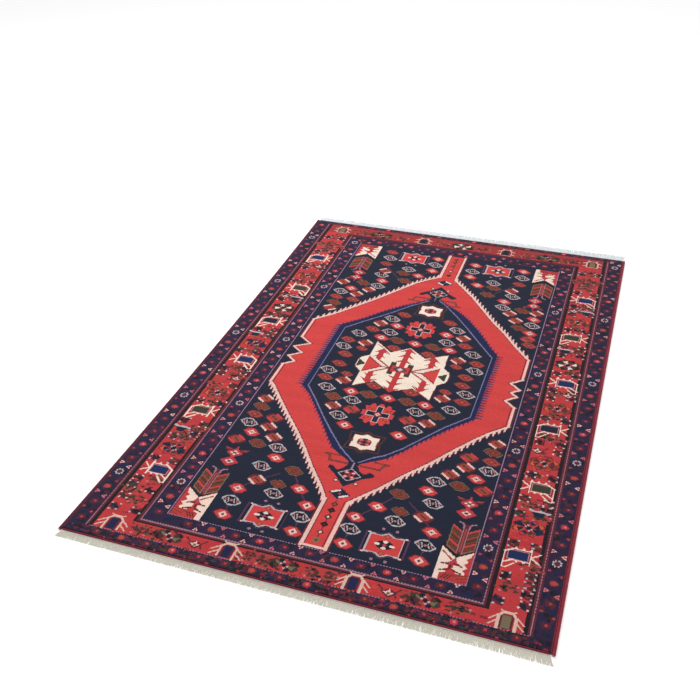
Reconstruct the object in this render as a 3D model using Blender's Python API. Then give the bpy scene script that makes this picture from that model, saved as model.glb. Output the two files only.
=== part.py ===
"""Hand-knotted village rug, 1.3 m by 2.0 m: cotton ground, wool pile in its borders and field, overcast
selvedges down the sides, and a twined cord, a flat-woven web and a fringe across each end.

Metres, +Z up. X runs across the rug and Y along its warps, towards the far end. The origin is on the
floor, under the middle of the whole rug, fringes included.
"""

import math

import bmesh
import bpy

# Overall sizes of the woven body, over the selvedges and over the end cords.
RUG_WIDTH = 1.300
RUG_LENGTH = 1.992

# Thicknesses.
GROUND_THICKNESS = 0.0030
PILE_HEIGHT = 0.0077
WEB_THICKNESS = 0.0022
FRINGE_THICKNESS = 0.0020

# Edge finishes.
SELVEDGE_DIAMETER = 0.0096
SELVEDGE_CORE_DIAMETER = 0.0060
END_CORD_DIAMETER = 0.0060
NEAR_WEB_LENGTH = 0.0050
FAR_WEB_LENGTH = 0.0080
NEAR_FRINGE_LENGTH = 0.0200
FAR_FRINGE_LENGTH = 0.0400

# Border widths, each with its half of the guard stripes beside it.
SIDE_OUTER_GUARD = 0.0532
SIDE_MAIN_BORDER = 0.1277
SIDE_INNER_GUARD = 0.0532
NEAR_OUTER_GUARD = 0.0293
NEAR_MAIN_BORDER = 0.0638
NEAR_INNER_GUARD = 0.0426
FAR_OUTER_GUARD = 0.0266
FAR_MAIN_BORDER = 0.0904
FAR_INNER_GUARD = 0.0452

# Clearance between neighbouring pieces.
GAP = 0.0003

# How a hand-made rug leaves the straight lines of its loom.
LEFT_BOW = 0.0098
LEFT_FLARE = 0.0185
LEFT_BOW_CENTRE = 0.25
RIGHT_SWELL = 0.0062
RIGHT_FLARE = 0.0025
FAR_SKEW = 0.0140
FAR_SKEW_POWER = 8

# Straight stretches that stand for each curved edge.
STATIONS_ALONG = 24
STATIONS_ACROSS = 14
ROUND_SIDES = 12

# Places worked out from the sizes above.
NEAR_END = END_CORD_DIAMETER + NEAR_WEB_LENGTH + NEAR_FRINGE_LENGTH
FAR_END = END_CORD_DIAMETER + FAR_WEB_LENGTH + FAR_FRINGE_LENGTH
PILE_LENGTH = RUG_LENGTH - 2 * END_CORD_DIAMETER
TOTAL_LENGTH = PILE_LENGTH + NEAR_END + FAR_END
PILE_NEAR_Y = -TOTAL_LENGTH / 2 + NEAR_END
PILE_FAR_Y = TOTAL_LENGTH / 2 - FAR_END
BODY_MIDDLE_Y = (PILE_NEAR_Y + PILE_FAR_Y) / 2
PILE_HALF_WIDTH = RUG_WIDTH / 2 - SELVEDGE_DIAMETER - GAP
PILE_BOTTOM_Z = GROUND_THICKNESS + GAP
PILE_TOP_Z = PILE_BOTTOM_Z + PILE_HEIGHT


def clear_scene():
    for thing in list(bpy.data.objects):
        bpy.data.objects.remove(thing)


def dyed(name, colour, roughness=0.95):
    """A plain textile material."""
    material = bpy.data.materials.new(name)
    material.use_nodes = True
    shader = material.node_tree.nodes["Principled BSDF"]
    shader.inputs["Base Color"].default_value = (*colour, 1.0)
    shader.inputs["Roughness"].default_value = roughness
    shader.inputs["Metallic"].default_value = 0.0
    return material


def as_woven(x, y):
    """Where a point of the straight loom plan lies on the finished rug.

    The left side bows inwards and flares at the near end, the right side swells a little, and the far
    end is out of square, shorter on its left.
    """
    across = x / (RUG_WIDTH / 2)
    along = (y - BODY_MIDDLE_Y) / (PILE_LENGTH / 2)
    left = LEFT_BOW - LEFT_FLARE * ((along - LEFT_BOW_CENTRE) / (1 + LEFT_BOW_CENTRE)) ** 2
    right = RIGHT_SWELL - RIGHT_FLARE * along
    moved_x = left * (1 - across) / 2 + right * (1 + across) / 2
    towards_far_end = min(max(along, 0.0), 1.0)
    moved_y = -FAR_SKEW * (1 - across) / 2 * towards_far_end**FAR_SKEW_POWER
    return x + moved_x, y + moved_y


def add_node(name, mesh, material):
    mesh.materials.append(material)
    node = bpy.data.objects.new(name, mesh)
    bpy.context.scene.collection.objects.link(node)
    return node


def stations(low, high, most, span):
    """How many straight stretches a side from low to high gets, of the most that span would."""
    return max(1, round(most * (high - low) / span))


def slab(name, x_range, y_range, z_range, material):
    """A flat cloth piece: a grid laid out on the loom plan, drawn to the woven shape and thickened."""
    (x0, x1), (y0, y1), (z0, z1) = x_range, y_range, z_range
    plan = bmesh.new()
    bmesh.ops.create_grid(
        plan,
        x_segments=stations(x0, x1, STATIONS_ACROSS, RUG_WIDTH),
        y_segments=stations(y0, y1, STATIONS_ALONG, RUG_LENGTH),
        size=0.5,
    )
    for corner in plan.verts:
        x = x0 + (corner.co.x + 0.5) * (x1 - x0)
        y = y0 + (corner.co.y + 0.5) * (y1 - y0)
        corner.co.x, corner.co.y = as_woven(x, y)
        corner.co.z = z0
    mesh = bpy.data.meshes.new(name)
    plan.to_mesh(mesh)
    plan.free()
    node = add_node(name, mesh, material)
    thicken = node.modifiers.new("thickness", "SOLIDIFY")
    thicken.thickness = z1 - z0
    thicken.offset = 1.0
    return node


def side_path(side, y0, y1):
    """Points down the middle of one selvedge. side is -1 on the left and 1 on the right."""
    x = side * (RUG_WIDTH - SELVEDGE_DIAMETER) / 2
    step = (y1 - y0) / STATIONS_ALONG
    return [(*as_woven(x, y0 + i * step), SELVEDGE_DIAMETER / 2) for i in range(STATIONS_ALONG + 1)]


def end_path(y, z, half_length):
    """Points down the middle of an end cord."""
    step = 2 * half_length / STATIONS_ACROSS
    return [(*as_woven(-half_length + i * step, y), z) for i in range(STATIONS_ACROSS + 1)]


def round_cord(name, path, diameter, material):
    """A solid cord along a path: a bevelled curve with filled caps."""
    curve = bpy.data.curves.new(name, "CURVE")
    curve.dimensions = "3D"
    curve.bevel_depth = diameter / 2
    curve.bevel_resolution = ROUND_SIDES // 4 - 1
    curve.use_fill_caps = True
    spline = curve.splines.new("POLY")
    spline.points.add(len(path) - 1)
    for point, place in zip(spline.points, path):
        point.co = (*place, 1.0)
    return add_node(name, curve, material)


def sleeve(name, path, outer_diameter, inner_diameter, material):
    """A sleeve around a cord that runs along Y: two rings at each point of the path, skinned."""
    shell = bmesh.new()
    rings = []
    for x, y, z in path:
        pair = []
        for radius in (outer_diameter / 2, inner_diameter / 2):
            turns = [math.tau * i / ROUND_SIDES for i in range(ROUND_SIDES)]
            ring = [
                shell.verts.new((x + radius * math.cos(a), y, z + radius * math.sin(a))) for a in turns
            ]
            pair.append(ring)
        rings.append(pair)
    for i in range(ROUND_SIDES):
        j = (i + 1) % ROUND_SIDES
        for (outer, inner), (next_outer, next_inner) in zip(rings, rings[1:]):
            shell.faces.new((outer[i], outer[j], next_outer[j], next_outer[i]))
            shell.faces.new((inner[i], inner[j], next_inner[j], next_inner[i]))
        for outer, inner in (rings[0], rings[-1]):
            shell.faces.new((outer[i], outer[j], inner[j], inner[i]))
    bmesh.ops.recalc_face_normals(shell, faces=shell.faces)
    mesh = bpy.data.meshes.new(name)
    shell.to_mesh(mesh)
    shell.free()
    mesh.shade_smooth()
    mesh.set_sharp_from_angle(angle=math.radians(40))
    return add_node(name, mesh, material)


def border(name, outer, inner, material):
    """Four pile strips between an outer and an inner rectangle of the loom plan, with butted corners."""
    (left, right, near, far) = outer
    (inner_left, inner_right, inner_near, inner_far) = inner
    height = (PILE_BOTTOM_Z, PILE_TOP_Z)
    sides_y = (inner_near + GAP, inner_far - GAP)
    slab(f"{name}_near", (left, right), (near, inner_near), height, material)
    slab(f"{name}_far", (left, right), (inner_far, far), height, material)
    slab(f"{name}_left", (left, inner_left), sides_y, height, material)
    slab(f"{name}_right", (inner_right, right), sides_y, height, material)


def inside(rectangle, side, near, far):
    """The rectangle left inside a border of these widths."""
    left, right, low, high = rectangle
    return left + side, right - side, low + near, high - far


def shrunk(rectangle):
    """The rectangle with the clearance taken off all round."""
    return inside(rectangle, GAP, GAP, GAP)


def build_pile():
    """The wool pile, zone by zone from the edge inwards."""
    navy = dyed("navy_wool", (0.020, 0.022, 0.060))
    aubergine = dyed("aubergine_wool", (0.050, 0.025, 0.085))
    madder = dyed("madder_wool", (0.520, 0.055, 0.045))
    edge = (-PILE_HALF_WIDTH, PILE_HALF_WIDTH, PILE_NEAR_Y, PILE_FAR_Y)
    main = inside(edge, SIDE_OUTER_GUARD, NEAR_OUTER_GUARD, FAR_OUTER_GUARD)
    guard = inside(main, SIDE_MAIN_BORDER, NEAR_MAIN_BORDER, FAR_MAIN_BORDER)
    field = inside(guard, SIDE_INNER_GUARD, NEAR_INNER_GUARD, FAR_INNER_GUARD)
    border("outer_guard_pile", edge, main, aubergine)
    border("main_border_pile", shrunk(main), guard, madder)
    border("inner_guard_pile", shrunk(guard), field, aubergine)
    left, right, near, far = shrunk(field)
    slab("field_pile", (left, right), (near, far), (PILE_BOTTOM_Z, PILE_TOP_Z), navy)


def build_ground():
    """The cotton warps and wefts that carry the pile."""
    cotton = dyed("ground_cotton", (0.42, 0.20, 0.18))
    reach = (-PILE_HALF_WIDTH, PILE_HALF_WIDTH)
    slab("foundation", reach, (PILE_NEAR_Y, PILE_FAR_Y), (0.0, GROUND_THICKNESS), cotton)


def build_selvedges():
    """A bundle of thick warps down each side, and the wool yarn overcast around it."""
    crimson = dyed("crimson_overcast", (0.330, 0.030, 0.050))
    cotton = dyed("core_cotton", (0.60, 0.55, 0.45))
    near, far = PILE_NEAR_Y - END_CORD_DIAMETER, PILE_FAR_Y + END_CORD_DIAMETER
    for side, word in ((-1, "left"), (1, "right")):
        path = side_path(side, near, far)
        round_cord(f"selvedge_core_{word}", path, SELVEDGE_CORE_DIAMETER, cotton)
        bore = SELVEDGE_CORE_DIAMETER + 2 * GAP
        sleeve(f"selvedge_wrap_{word}", path, SELVEDGE_DIAMETER, bore, crimson)


def build_end(word, outwards, pile_y, web_length, fringe_length, cord_material):
    """One end. outwards is -1 at the near end and 1 at the far end."""
    cream = dyed(f"{word}_warp_cotton", (0.62, 0.58, 0.48))
    cord_y = pile_y + outwards * (GAP + END_CORD_DIAMETER / 2)
    cord_z = WEB_THICKNESS + GAP + END_CORD_DIAMETER / 2
    cord_path = end_path(cord_y, cord_z, PILE_HALF_WIDTH)
    round_cord(f"end_cord_{word}", cord_path, END_CORD_DIAMETER, cord_material)
    web_start = pile_y + outwards * GAP
    web_end = pile_y + outwards * (END_CORD_DIAMETER + web_length)
    reach = (-PILE_HALF_WIDTH, PILE_HALF_WIDTH)
    slab(f"web_{word}", reach, tuple(sorted((web_start, web_end))), (0.0, WEB_THICKNESS), cream)
    fringe_start = web_end + outwards * GAP
    fringe_end = web_end + outwards * fringe_length
    slab(f"fringe_{word}", reach, tuple(sorted((fringe_start, fringe_end))), (0.0, FRINGE_THICKNESS), cream)


def build():
    clear_scene()
    build_ground()
    build_pile()
    build_selvedges()
    crimson_cord = dyed("crimson_end_cord", (0.300, 0.025, 0.040))
    indigo_cord = dyed("indigo_end_cord", (0.018, 0.020, 0.050))
    build_end("near", -1, PILE_NEAR_Y, NEAR_WEB_LENGTH, NEAR_FRINGE_LENGTH, crimson_cord)
    build_end("far", 1, PILE_FAR_Y, FAR_WEB_LENGTH, FAR_FRINGE_LENGTH, indigo_cord)


build()
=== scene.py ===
import math

import bpy
import numpy as np
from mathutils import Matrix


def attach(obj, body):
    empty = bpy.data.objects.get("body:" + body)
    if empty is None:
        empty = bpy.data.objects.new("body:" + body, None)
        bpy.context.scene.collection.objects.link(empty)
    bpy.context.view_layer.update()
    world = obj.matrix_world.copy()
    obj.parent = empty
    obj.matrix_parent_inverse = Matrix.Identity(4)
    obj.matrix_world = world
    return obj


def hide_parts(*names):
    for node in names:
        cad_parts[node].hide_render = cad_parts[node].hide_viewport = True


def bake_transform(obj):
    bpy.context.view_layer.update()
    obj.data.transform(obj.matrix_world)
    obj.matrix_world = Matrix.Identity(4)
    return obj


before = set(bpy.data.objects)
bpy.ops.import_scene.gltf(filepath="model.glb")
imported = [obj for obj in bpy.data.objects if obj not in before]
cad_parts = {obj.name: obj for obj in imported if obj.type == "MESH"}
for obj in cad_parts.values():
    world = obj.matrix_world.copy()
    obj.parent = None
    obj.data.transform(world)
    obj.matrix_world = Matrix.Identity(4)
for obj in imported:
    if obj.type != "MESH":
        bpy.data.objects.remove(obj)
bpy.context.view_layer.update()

# ---------------------------------------------------------------------------------------------------
# The wools. Screen values from 0 to 255, turned into light values by dye().
# ---------------------------------------------------------------------------------------------------


def dye(red, green, blue):
    values = [channel / 255 for channel in (red, green, blue)]
    return tuple(v / 12.92 if v <= 0.04045 else ((v + 0.055) / 1.055) ** 2.4 for v in values)


WOOLS = {
    "navy": dye(36, 40, 58),
    "ink": dye(40, 32, 40),
    "teal": dye(32, 48, 60),
    "aubergine": dye(52, 40, 68),
    "plum": dye(82, 44, 60),
    "purple": dye(92, 58, 92),
    "blue": dye(32, 50, 94),
    "coral": dye(218, 71, 70),
    "madder": dye(198, 62, 66),
    "rust": dye(170, 74, 66),
    "orange": dye(218, 98, 64),
    "maroon": dye(104, 44, 54),
    "shaded_madder": dye(166, 58, 60),
    # Painted shade: the main border's red as the far end of the pile looks under the light.
    "scarlet": dye(214, 72, 62),
    "garnet": dye(142, 48, 62),
    "russet": dye(138, 66, 50),
    "bark": dye(84, 54, 50),
    "indigo": dye(36, 42, 80),
    "moss": dye(64, 66, 52),
    "olive": dye(128, 112, 86),
    "ivory": dye(254, 235, 217),
    "cream": dye(254, 225, 209),
    "sand": dye(230, 194, 178),
    "blush": dye(248, 202, 192),
    "pink": dye(214, 128, 138),
    "rose": dye(186, 70, 88),
    "lilac": dye(168, 132, 164),
    "haze": dye(134, 130, 172),
    "dusty": dye(170, 124, 140),
    "mist": dye(196, 188, 194),
    "white": dye(240, 232, 228),
}
WOOL_NAMES = list(WOOLS)

# ---------------------------------------------------------------------------------------------------
# The cartoon: the weaver's plan, one wool for each knot. u counts knots to the right of the rug's
# middle, and v counts rows from the near end.
# ---------------------------------------------------------------------------------------------------

COLUMNS = 481
ROWS = 744
FIELD_AXIS = 4
STAR_AXIS = 2.5
STAR_ROW = 368


class Cartoon:
    """The knots, and the place and way round that motifs are drawn on them.

    Motifs are given in knots about their own place. side and up are -1 to mirror them across or along.
    """

    def __init__(self, knots, u=0, v=0, side=1, up=1):
        self.knots = knots
        self.u = u
        self.v = v
        self.side = side
        self.up = up

    def at(self, u, v, side=1, up=1):
        """The same knots, drawn on about another place."""
        return Cartoon(self.knots, self.u + self.side * u, self.v + self.up * v,
                       self.side * side, self.up * up)

    def halves(self):
        """The same place, mirrored across and then as it is."""
        return [self.at(0, 0, side) for side in (-1, 1)]

    def quarters(self):
        """The same place, mirrored every way across and along."""
        return [self.at(0, 0, side, up) for side in (-1, 1) for up in (-1, 1)]

    def placed(self, points):
        return [(self.u + self.side * u, self.v + self.up * v) for u, v in points]

    def paint(self, wool, points, reach_u, reach_v, inside):
        """Sets the knots within reach of points where inside(u, v) holds."""
        us, vs = zip(*points)
        middle = COLUMNS // 2
        c0 = max(0, math.floor(min(us) - reach_u) + middle)
        c1 = min(COLUMNS, math.ceil(max(us) + reach_u) + middle + 1)
        r0 = max(0, math.floor(min(vs) - reach_v))
        r1 = min(ROWS, math.ceil(max(vs) + reach_v) + 1)
        if c0 >= c1 or r0 >= r1:
            return
        v, u = np.mgrid[r0:r1, c0 - middle : c1 - middle].astype(float)
        self.knots[r0:r1, c0:c1][inside(u, v)] = WOOL_NAMES.index(wool)

    def shape(self, wool, points):
        """A filled outline."""
        corners = self.placed(points)

        def inside(u, v):
            odd = np.zeros(u.shape, bool)
            for (u0, v0), (u1, v1) in zip(corners, corners[1:] + corners[:1]):
                if v0 == v1:
                    continue
                crosses = (v0 <= v) != (v1 <= v)
                odd ^= crosses & (u < u0 + (v - v0) * (u1 - u0) / (v1 - v0))
            return odd

        self.paint(wool, corners, 0, 0, inside)

    def line(self, wool, points, width):
        """A line through points, width knots across."""
        half = width / 2
        corners = self.placed(points)
        for (u0, v0), (u1, v1) in zip(corners, corners[1:]):
            length = math.hypot(u1 - u0, v1 - v0)
            du, dv = (u1 - u0) / length, (v1 - v0) / length

            def inside(u, v):
                along = (u - u0) * du + (v - v0) * dv
                across = np.abs((v - v0) * du - (u - u0) * dv)
                return (across <= half) & (along >= -half) & (along <= length + half)

            self.paint(wool, [(u0, v0), (u1, v1)], half + 1, half + 1, inside)

    def block(self, wool, u0, u1, v0, v1):
        """A rectangle between two columns and two rows, ends included."""
        corners = self.placed([(u0, v0), (u1, v1)])
        (left, right), (near, far) = (sorted(ends) for ends in zip(*corners))
        self.paint(wool, corners, 0, 0,
                   lambda u, v: (u >= left) & (u <= right) & (v >= near) & (v <= far))

    def lozenge(self, wool, u, v, half_width, half_height, flat=1.0):
        """A diamond, its points cut off where flat is less than 1."""
        ((u0, v0),) = self.placed([(u, v)])

        def inside(u, v):
            across, along = np.abs(u - u0) / half_width, np.abs(v - v0) / half_height
            return (across + along <= 1.0) & (across <= flat) & (along <= flat)

        self.paint(wool, [(u0, v0)], half_width, half_height, inside)

    def dots(self, wool, spots, radius):
        """Small round dots."""
        for u0, v0 in self.placed(spots):
            self.paint(wool, [(u0, v0)], radius, radius,
                       lambda u, v: np.hypot(u - u0, v - v0) <= radius)


def stretched(points, across, along):
    return [(u * across, v * along) for u, v in points]


# ---- the little lozenges, each drawn about its own middle ------------------------------------------

# Pointed at the sides, cut flat and a little askew at the ends.
LOZENGE_OUTLINE = [(-1.18, 0.1), (-0.62, 0.84), (0.2, 0.88), (1.18, -0.1), (0.62, -0.84), (-0.2, -0.88)]


def nested_lozenges(pen, size, *rings):
    """rings: (wool, half width, half height), the outermost first."""
    for wool, half_width, half_height in rings:
        pen.shape(wool, stretched(LOZENGE_OUTLINE, half_width * size, half_height * size))


def white_lozenge(pen, size):
    """A pale outline round a dark middle with two pairs of bars and a pale eye."""
    nested_lozenges(pen, size, ("mist", 10, 8.4), ("moss", 8.2, 7.0), ("ink", 7.2, 6.2))
    for wool, out, half in (("pink", -6.21, 2.6), ("mist", -3.22, 3.4),
                            ("mist", 3.22, 3.4), ("pink", 6.21, 2.6)):
        pen.line(wool, [(out - 1.2, half), (out + 1.2, -half)], 1.1)
    pen.lozenge("dusty", 0, 0, 1.6, 2.0)


def rose_lozenge(pen, size):
    """A red diamond with a pale eye."""
    nested_lozenges(pen, size, ("maroon", 10.2, 8.6), ("coral", 8.7, 7.2))
    pen.lozenge("rose", 0, 0, 6.4 * size, 5.4 * size)
    pen.lozenge("blush", 0, 0, 5.2 * size, 4.6 * size)
    pen.lozenge("maroon", 0, 0, 2.0, 1.8)


def barred_lozenge(pen, size, bars="blush"):
    """A dark red diamond with a bar on two of its sides."""
    nested_lozenges(pen, size, ("maroon", 10, 9), ("rust", 7, 6.5))
    pen.line("bark", [(-3, 2.4), (3, -2.4)], 1.6)
    for end in (-1, 1):
        pen.line(bars, [(end * 4.6 - 3.6, end * 4.2 + 2.6), (end * 4.6 + 3.6, end * 4.2 - 2.6)], 2.6)


def red_barred_lozenge(pen, size):
    barred_lozenge(pen, size, "coral")


def rust_lozenge(pen, size):
    nested_lozenges(pen, size, ("maroon", 10, 8.2), ("rust", 8.6, 6.8))
    pen.lozenge("bark", 0, 0, 5.5 * size, 4.4 * size)
    pen.lozenge("coral", 0, 0, 3.2 * size, 2.6 * size)


def brown_lozenge(pen, size):
    nested_lozenges(pen, size, ("olive", 10, 8.2), ("maroon", 9, 7.2), ("russet", 7.6, 6))
    pen.lozenge("bark", 0, 0, 4.0 * size, 3.2 * size)
    pen.lozenge("rust", 0, 0, 1.8, 1.6)


LOZENGES = {
    "white": white_lozenge,
    "rose": rose_lozenge,
    "barred": barred_lozenge,
    "red barred": red_barred_lozenge,
    "rust": rust_lozenge,
    "brown": brown_lozenge,
}


# ---- the field -----------------------------------------------------------------------------------

LEFT_NEAR_EDGE = [(-9, 51), (-9, 120), (-20, 137), (-40, 163), (-60, 192), (-80, 218), (-100, 242),
                  (-120, 267), (-140, 293), (-144, 296)]
LEFT_WAIST = [(-144, 296), (-144, 335), (-132, 345), (-144, 355), (-130, 366), (-145, 377),
              (-127, 389), (-144, 402), (-144, 447)]
LEFT_FAR_EDGE = [(-144, 447), (-120, 472), (-100, 498), (-80, 524), (-60, 553), (-40, 582), (-20, 602),
                 (-9, 612), (-9, 681)]
RIGHT_NEAR_EDGE = [(17, 51), (17, 122), (40, 151), (60, 180), (80, 206), (100, 236), (120, 264),
                   (133, 280), (149, 296)]
RIGHT_WAIST = [(149, 296), (149, 333), (136, 344), (148, 355), (140, 362), (149, 370), (136, 381),
               (149, 392), (149, 437)]
RIGHT_FAR_EDGE = [(149, 437), (130, 460), (110, 488), (90, 512), (70, 540), (50, 568), (30, 592),
                  (15, 609), (15, 681)]
TOOTH_PITCH = 5.7
TEETH = (("maroon", 3.0, 10.4), ("blush", 2.1, 8.8))


def along_line(points, pitch):
    """Places every pitch of u along a line."""
    for (u0, v0), (u1, v1) in zip(points, points[1:]):
        steps = max(1, round(abs(u1 - u0) / pitch))
        for step in range(steps):
            share = (step + 0.5) / steps
            yield u0 + (u1 - u0) * share, v0 + (v1 - v0) * share


def medallion(cartoon):
    """The red ground, toothed where it slants, with a pole at each end."""
    left = LEFT_NEAR_EDGE + LEFT_WAIST[1:] + LEFT_FAR_EDGE[1:]
    right = RIGHT_NEAR_EDGE + RIGHT_WAIST[1:] + RIGHT_FAR_EDGE[1:]
    cartoon.shape("coral", left + right[::-1])
    for edge, outward in ((left, -1), (right, 1)):
        cartoon.at(outward, 0).line("maroon", edge, 4.6)
    for edge, up in ((LEFT_NEAR_EDGE[1:], -1), (RIGHT_NEAR_EDGE[1:], -1),
                     (LEFT_FAR_EDGE[:-1], 1), (RIGHT_FAR_EDGE[:-1], 1)):
        for wool, half, reach in TEETH:
            for u, v in along_line(edge, TOOTH_PITCH):
                cartoon.at(u, v, 1, up).shape(wool, [(-half, 0), (half, 0), (0.5, reach), (-0.5, reach)])
    for edge in (left, right):
        cartoon.line("blush", edge, 3.2)
    for edge, inward in ((left, 2.6), (right, -2.6)):
        cartoon.at(inward, 0).line("maroon", edge[1:-1], 1.0)
    for near, far, pale_half in ((51, 121, 1.6), (611, 682, 1.1)):
        for u in (-5.6, 13.4):
            cartoon.block("maroon", u - 0.5, u + 0.5, near, far)
        for u in (-8, 15.8):
            cartoon.block("blush", u - pale_half, u + pale_half, near, far)
    cartoon.block("blush", -9, 17, 51, 53.5)


LEFT_HEXAGON_LINE = [(3, 181), (0, 184), (-20, 202), (-40, 226), (-60, 252), (-80, 280), (-97, 302),
                     (-97, 440), (-80, 460), (-60, 482), (-45, 499), (-27, 522), (2, 550)]
RIGHT_HEXAGON_LINE = [(4, 182), (20, 197), (30, 204), (45, 221), (60, 243), (80, 272), (104, 300),
                      (104, 428), (80, 459), (60, 486), (40, 511), (20, 534), (2, 550)]
LEFT_HEXAGON_EDGE = [(-28, 198), (-40, 215), (-60, 245), (-90, 287), (-104, 300), (-104, 446),
                     (-80, 470), (-60, 495), (-40, 516), (-20, 533), (-3, 549)]
RIGHT_HEXAGON_EDGE = [(32, 198), (45, 214), (60, 236), (84, 268), (110, 298), (110, 435), (100, 448),
                      (80, 478), (60, 504), (45, 520), (30, 531), (6, 549)]
UPRIGHT_BARB = [(0, -2.2), (8, -0.4), (8, 0.4), (0, 2.2)]
SLANTING_BARB = [(-1.6, -2), (1.6, -2), (0.6, 5.5)]
UPRIGHT_BARB_PITCH = 5
SLANTING_BARB_PITCH = 4


def hexagon(cartoon):
    """The dark ground of the medallion's middle, with a barbed edge and a thin pale line in it."""
    for edge, out in ((LEFT_HEXAGON_EDGE, -1), (RIGHT_HEXAGON_EDGE, 1)):
        for (u0, v0), (u1, v1) in zip(edge, edge[1:]):
            upright = u0 == u1
            steps = (v1 - v0) / UPRIGHT_BARB_PITCH if upright else abs(u1 - u0) / SLANTING_BARB_PITCH
            steps = max(1, round(steps))
            for step in range(steps):
                share = (step + 0.5) / steps
                u, v = u0 + (u1 - u0) * share, v0 + (v1 - v0) * share
                if upright:
                    cartoon.at(u, v, out).shape("purple", UPRIGHT_BARB)
                else:
                    cartoon.at(u, v, out, 1 if v > STAR_ROW else -1).shape("purple", SLANTING_BARB)
    cartoon.shape("indigo", [(0, 180)] + LEFT_HEXAGON_EDGE + RIGHT_HEXAGON_EDGE[::-1] + [(6, 180)])
    cartoon.shape("navy", LEFT_HEXAGON_LINE + RIGHT_HEXAGON_LINE[::-1])
    for edge in (LEFT_HEXAGON_LINE, RIGHT_HEXAGON_LINE):
        cartoon.line("haze", edge, 1.5)


HEXAGON_LOZENGES = [
    # kind in the near half, kind in the far half, knots out from the axis, knots out from the star's row
    ("rose", "rose", 46, 62),
    ("brown", "brown", 24, 62),
    ("rose", "rose", 0, 62),
    ("rust", "rust", 23, 43),
    ("white", "white", 77, 62),
    ("brown", "rust", 63, 78),
    ("white", "white", 39, 78),
    ("barred", "barred", 57, 95),
    ("red barred", "rose", 34, 96),
    ("white", "white", 45, 111),
    ("rose", "rust", 32, 126),
    ("rust", "rust", 86, 43),
    ("barred", "barred", 62, 43),
    ("white", "white", 87, 27),
    ("rust", "rust", 62.5, 29),
    ("rust", "rust", 79, 10),
]
SMALLER_LOZENGE = (62.5, 29)
# The far lozenges stand a little lower the further right they are.
FAR_LOZENGE_SLOPE = -0.03


def hexagon_lozenges(cartoon):
    for near_kind, far_kind, out, away in HEXAGON_LOZENGES:
        size = 0.8 if (out, away) == SMALLER_LOZENGE else 1.0
        for kind, half in ((near_kind, -1), (far_kind, 1)):
            for side in (-1, 1) if out else (1,):
                lift = FAR_LOZENGE_SLOPE * side * out if half > 0 else 0.0
                LOZENGES[kind](cartoon.at(STAR_AXIS + side * out, STAR_ROW + half * away + lift), size)


STAR_OUTLINE = [(-46, 422), (-22, 402), (0, 419), (24, 401), (51, 418), (52, 387), (60, 380),
                (62.5, 373), (62.5, 362), (60, 356), (52, 349), (51, 316), (25, 333), (0, 319),
                (-23, 334), (-47, 317), (-47, 350), (-55, 357), (-57, 361), (-57, 375), (-55, 381),
                (-46, 388)]
LONG_FIR = ((15, 11.5, 7), (27, 11.5, 8), (39.5, 10, 8))
SHORT_FIR = ((18, 9.5, 7), (28.5, 9.5, 8))


def fir(pen, tiers, stem_half, foot):
    """A stem with barbed tiers. tiers: (knots from the star's middle, half width, height)."""
    top = max(away + height for away, _, height in tiers)
    pen.block("madder", -stem_half, stem_half, foot, top - 1)
    for away, half, height in tiers:
        for wool, more in (("rust", 1), ("madder", 0)):
            left = [(-half - more, away - more), (-half * 0.55, away + height * 0.6)]
            right = [(-u, v) for u, v in left[::-1]]
            foot_line = [(stem_half + 1, away + 2), (-stem_half - 1, away + 2)]
            pen.shape(wool, left + [(0, away + height + 2 + more)] + right + foot_line)


def star(cartoon):
    """The ivory star, with a fir each way from its middle, two at each side, and a red wing between."""
    cartoon.shape("ivory", STAR_OUTLINE)
    cartoon.line("maroon", STAR_OUTLINE + STAR_OUTLINE[:1], 1.3)
    middle = cartoon.at(0, STAR_ROW - 0.5)
    for side, tree, wing, tip in ((-1, 33, 45, 25), (1, 35, 48, 28)):
        half = middle.at(0, 0, side)
        half.shape("maroon", [(wing, 17.5), (tip - 2, 0), (wing, -17.5)])
        half.shape("coral", [(wing, 15.5), (tip, 0), (wing, -15.5)])
        half.shape("moss", [(wing + 10.5, 8.5), (wing + 1, 1), (wing + 1, -1), (wing + 10.5, -8.5)])
        half.line("maroon", [(15, 0), (tip - 2, 0)], 2.2)
        for up in (-1, 1):
            quarter = half.at(0, 0, 1, up)
            quarter.line("rust", [(15, 1), (tree + 1, 15.5)], 2.4)
            quarter.line("blush", [(22, 1), (wing, 18.5)], 1.6)
            fir(middle.at(side * tree, 0, 1, up), SHORT_FIR, 3, 15)
            quarter.line("rust", [(tree + 10, 47), (tree, 40), (tree - 11, 29)], 1.3)
    for half in middle.halves():
        half.block("maroon", 7.6, 14.4, -13, 13.5)
        half.block("moss", 8.4, 13.6, -12.5, -5.5)
        half.block("moss", 8.4, 13.6, 6.5, 13.5)
        half.block("madder", 6.6, 11.4, -6.5, 6.5)
    for up in (-1, 1):
        fir(middle.at(0, 0, 1, up), LONG_FIR, 3.4, 3)
    middle.block("madder", -7, 7, -6, 6)
    middle.lozenge("moss", 0, 0, 9, 7)
    middle.lozenge("lilac", 0, 0, 5.2, 4.8)
    middle.lozenge("blush", 0, 0, 3, 3)


CROSS_BODY = [(-16, -9), (-16, 9), (-11, 15), (11, 15), (16, 9), (16, -9), (11, -15), (-11, -15)]
CROSS_LOBES = (
    [(12, 13), (18.5, 14), (16, 6)],
    [(13, 6), (19.5, 4), (19, 0), (14, -2)],
    [(5, 13), (8, 19.5), (12, 18.5), (13, 12)],
    [(0, 14), (0, 21), (2, 21), (5, 14)],
)


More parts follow.
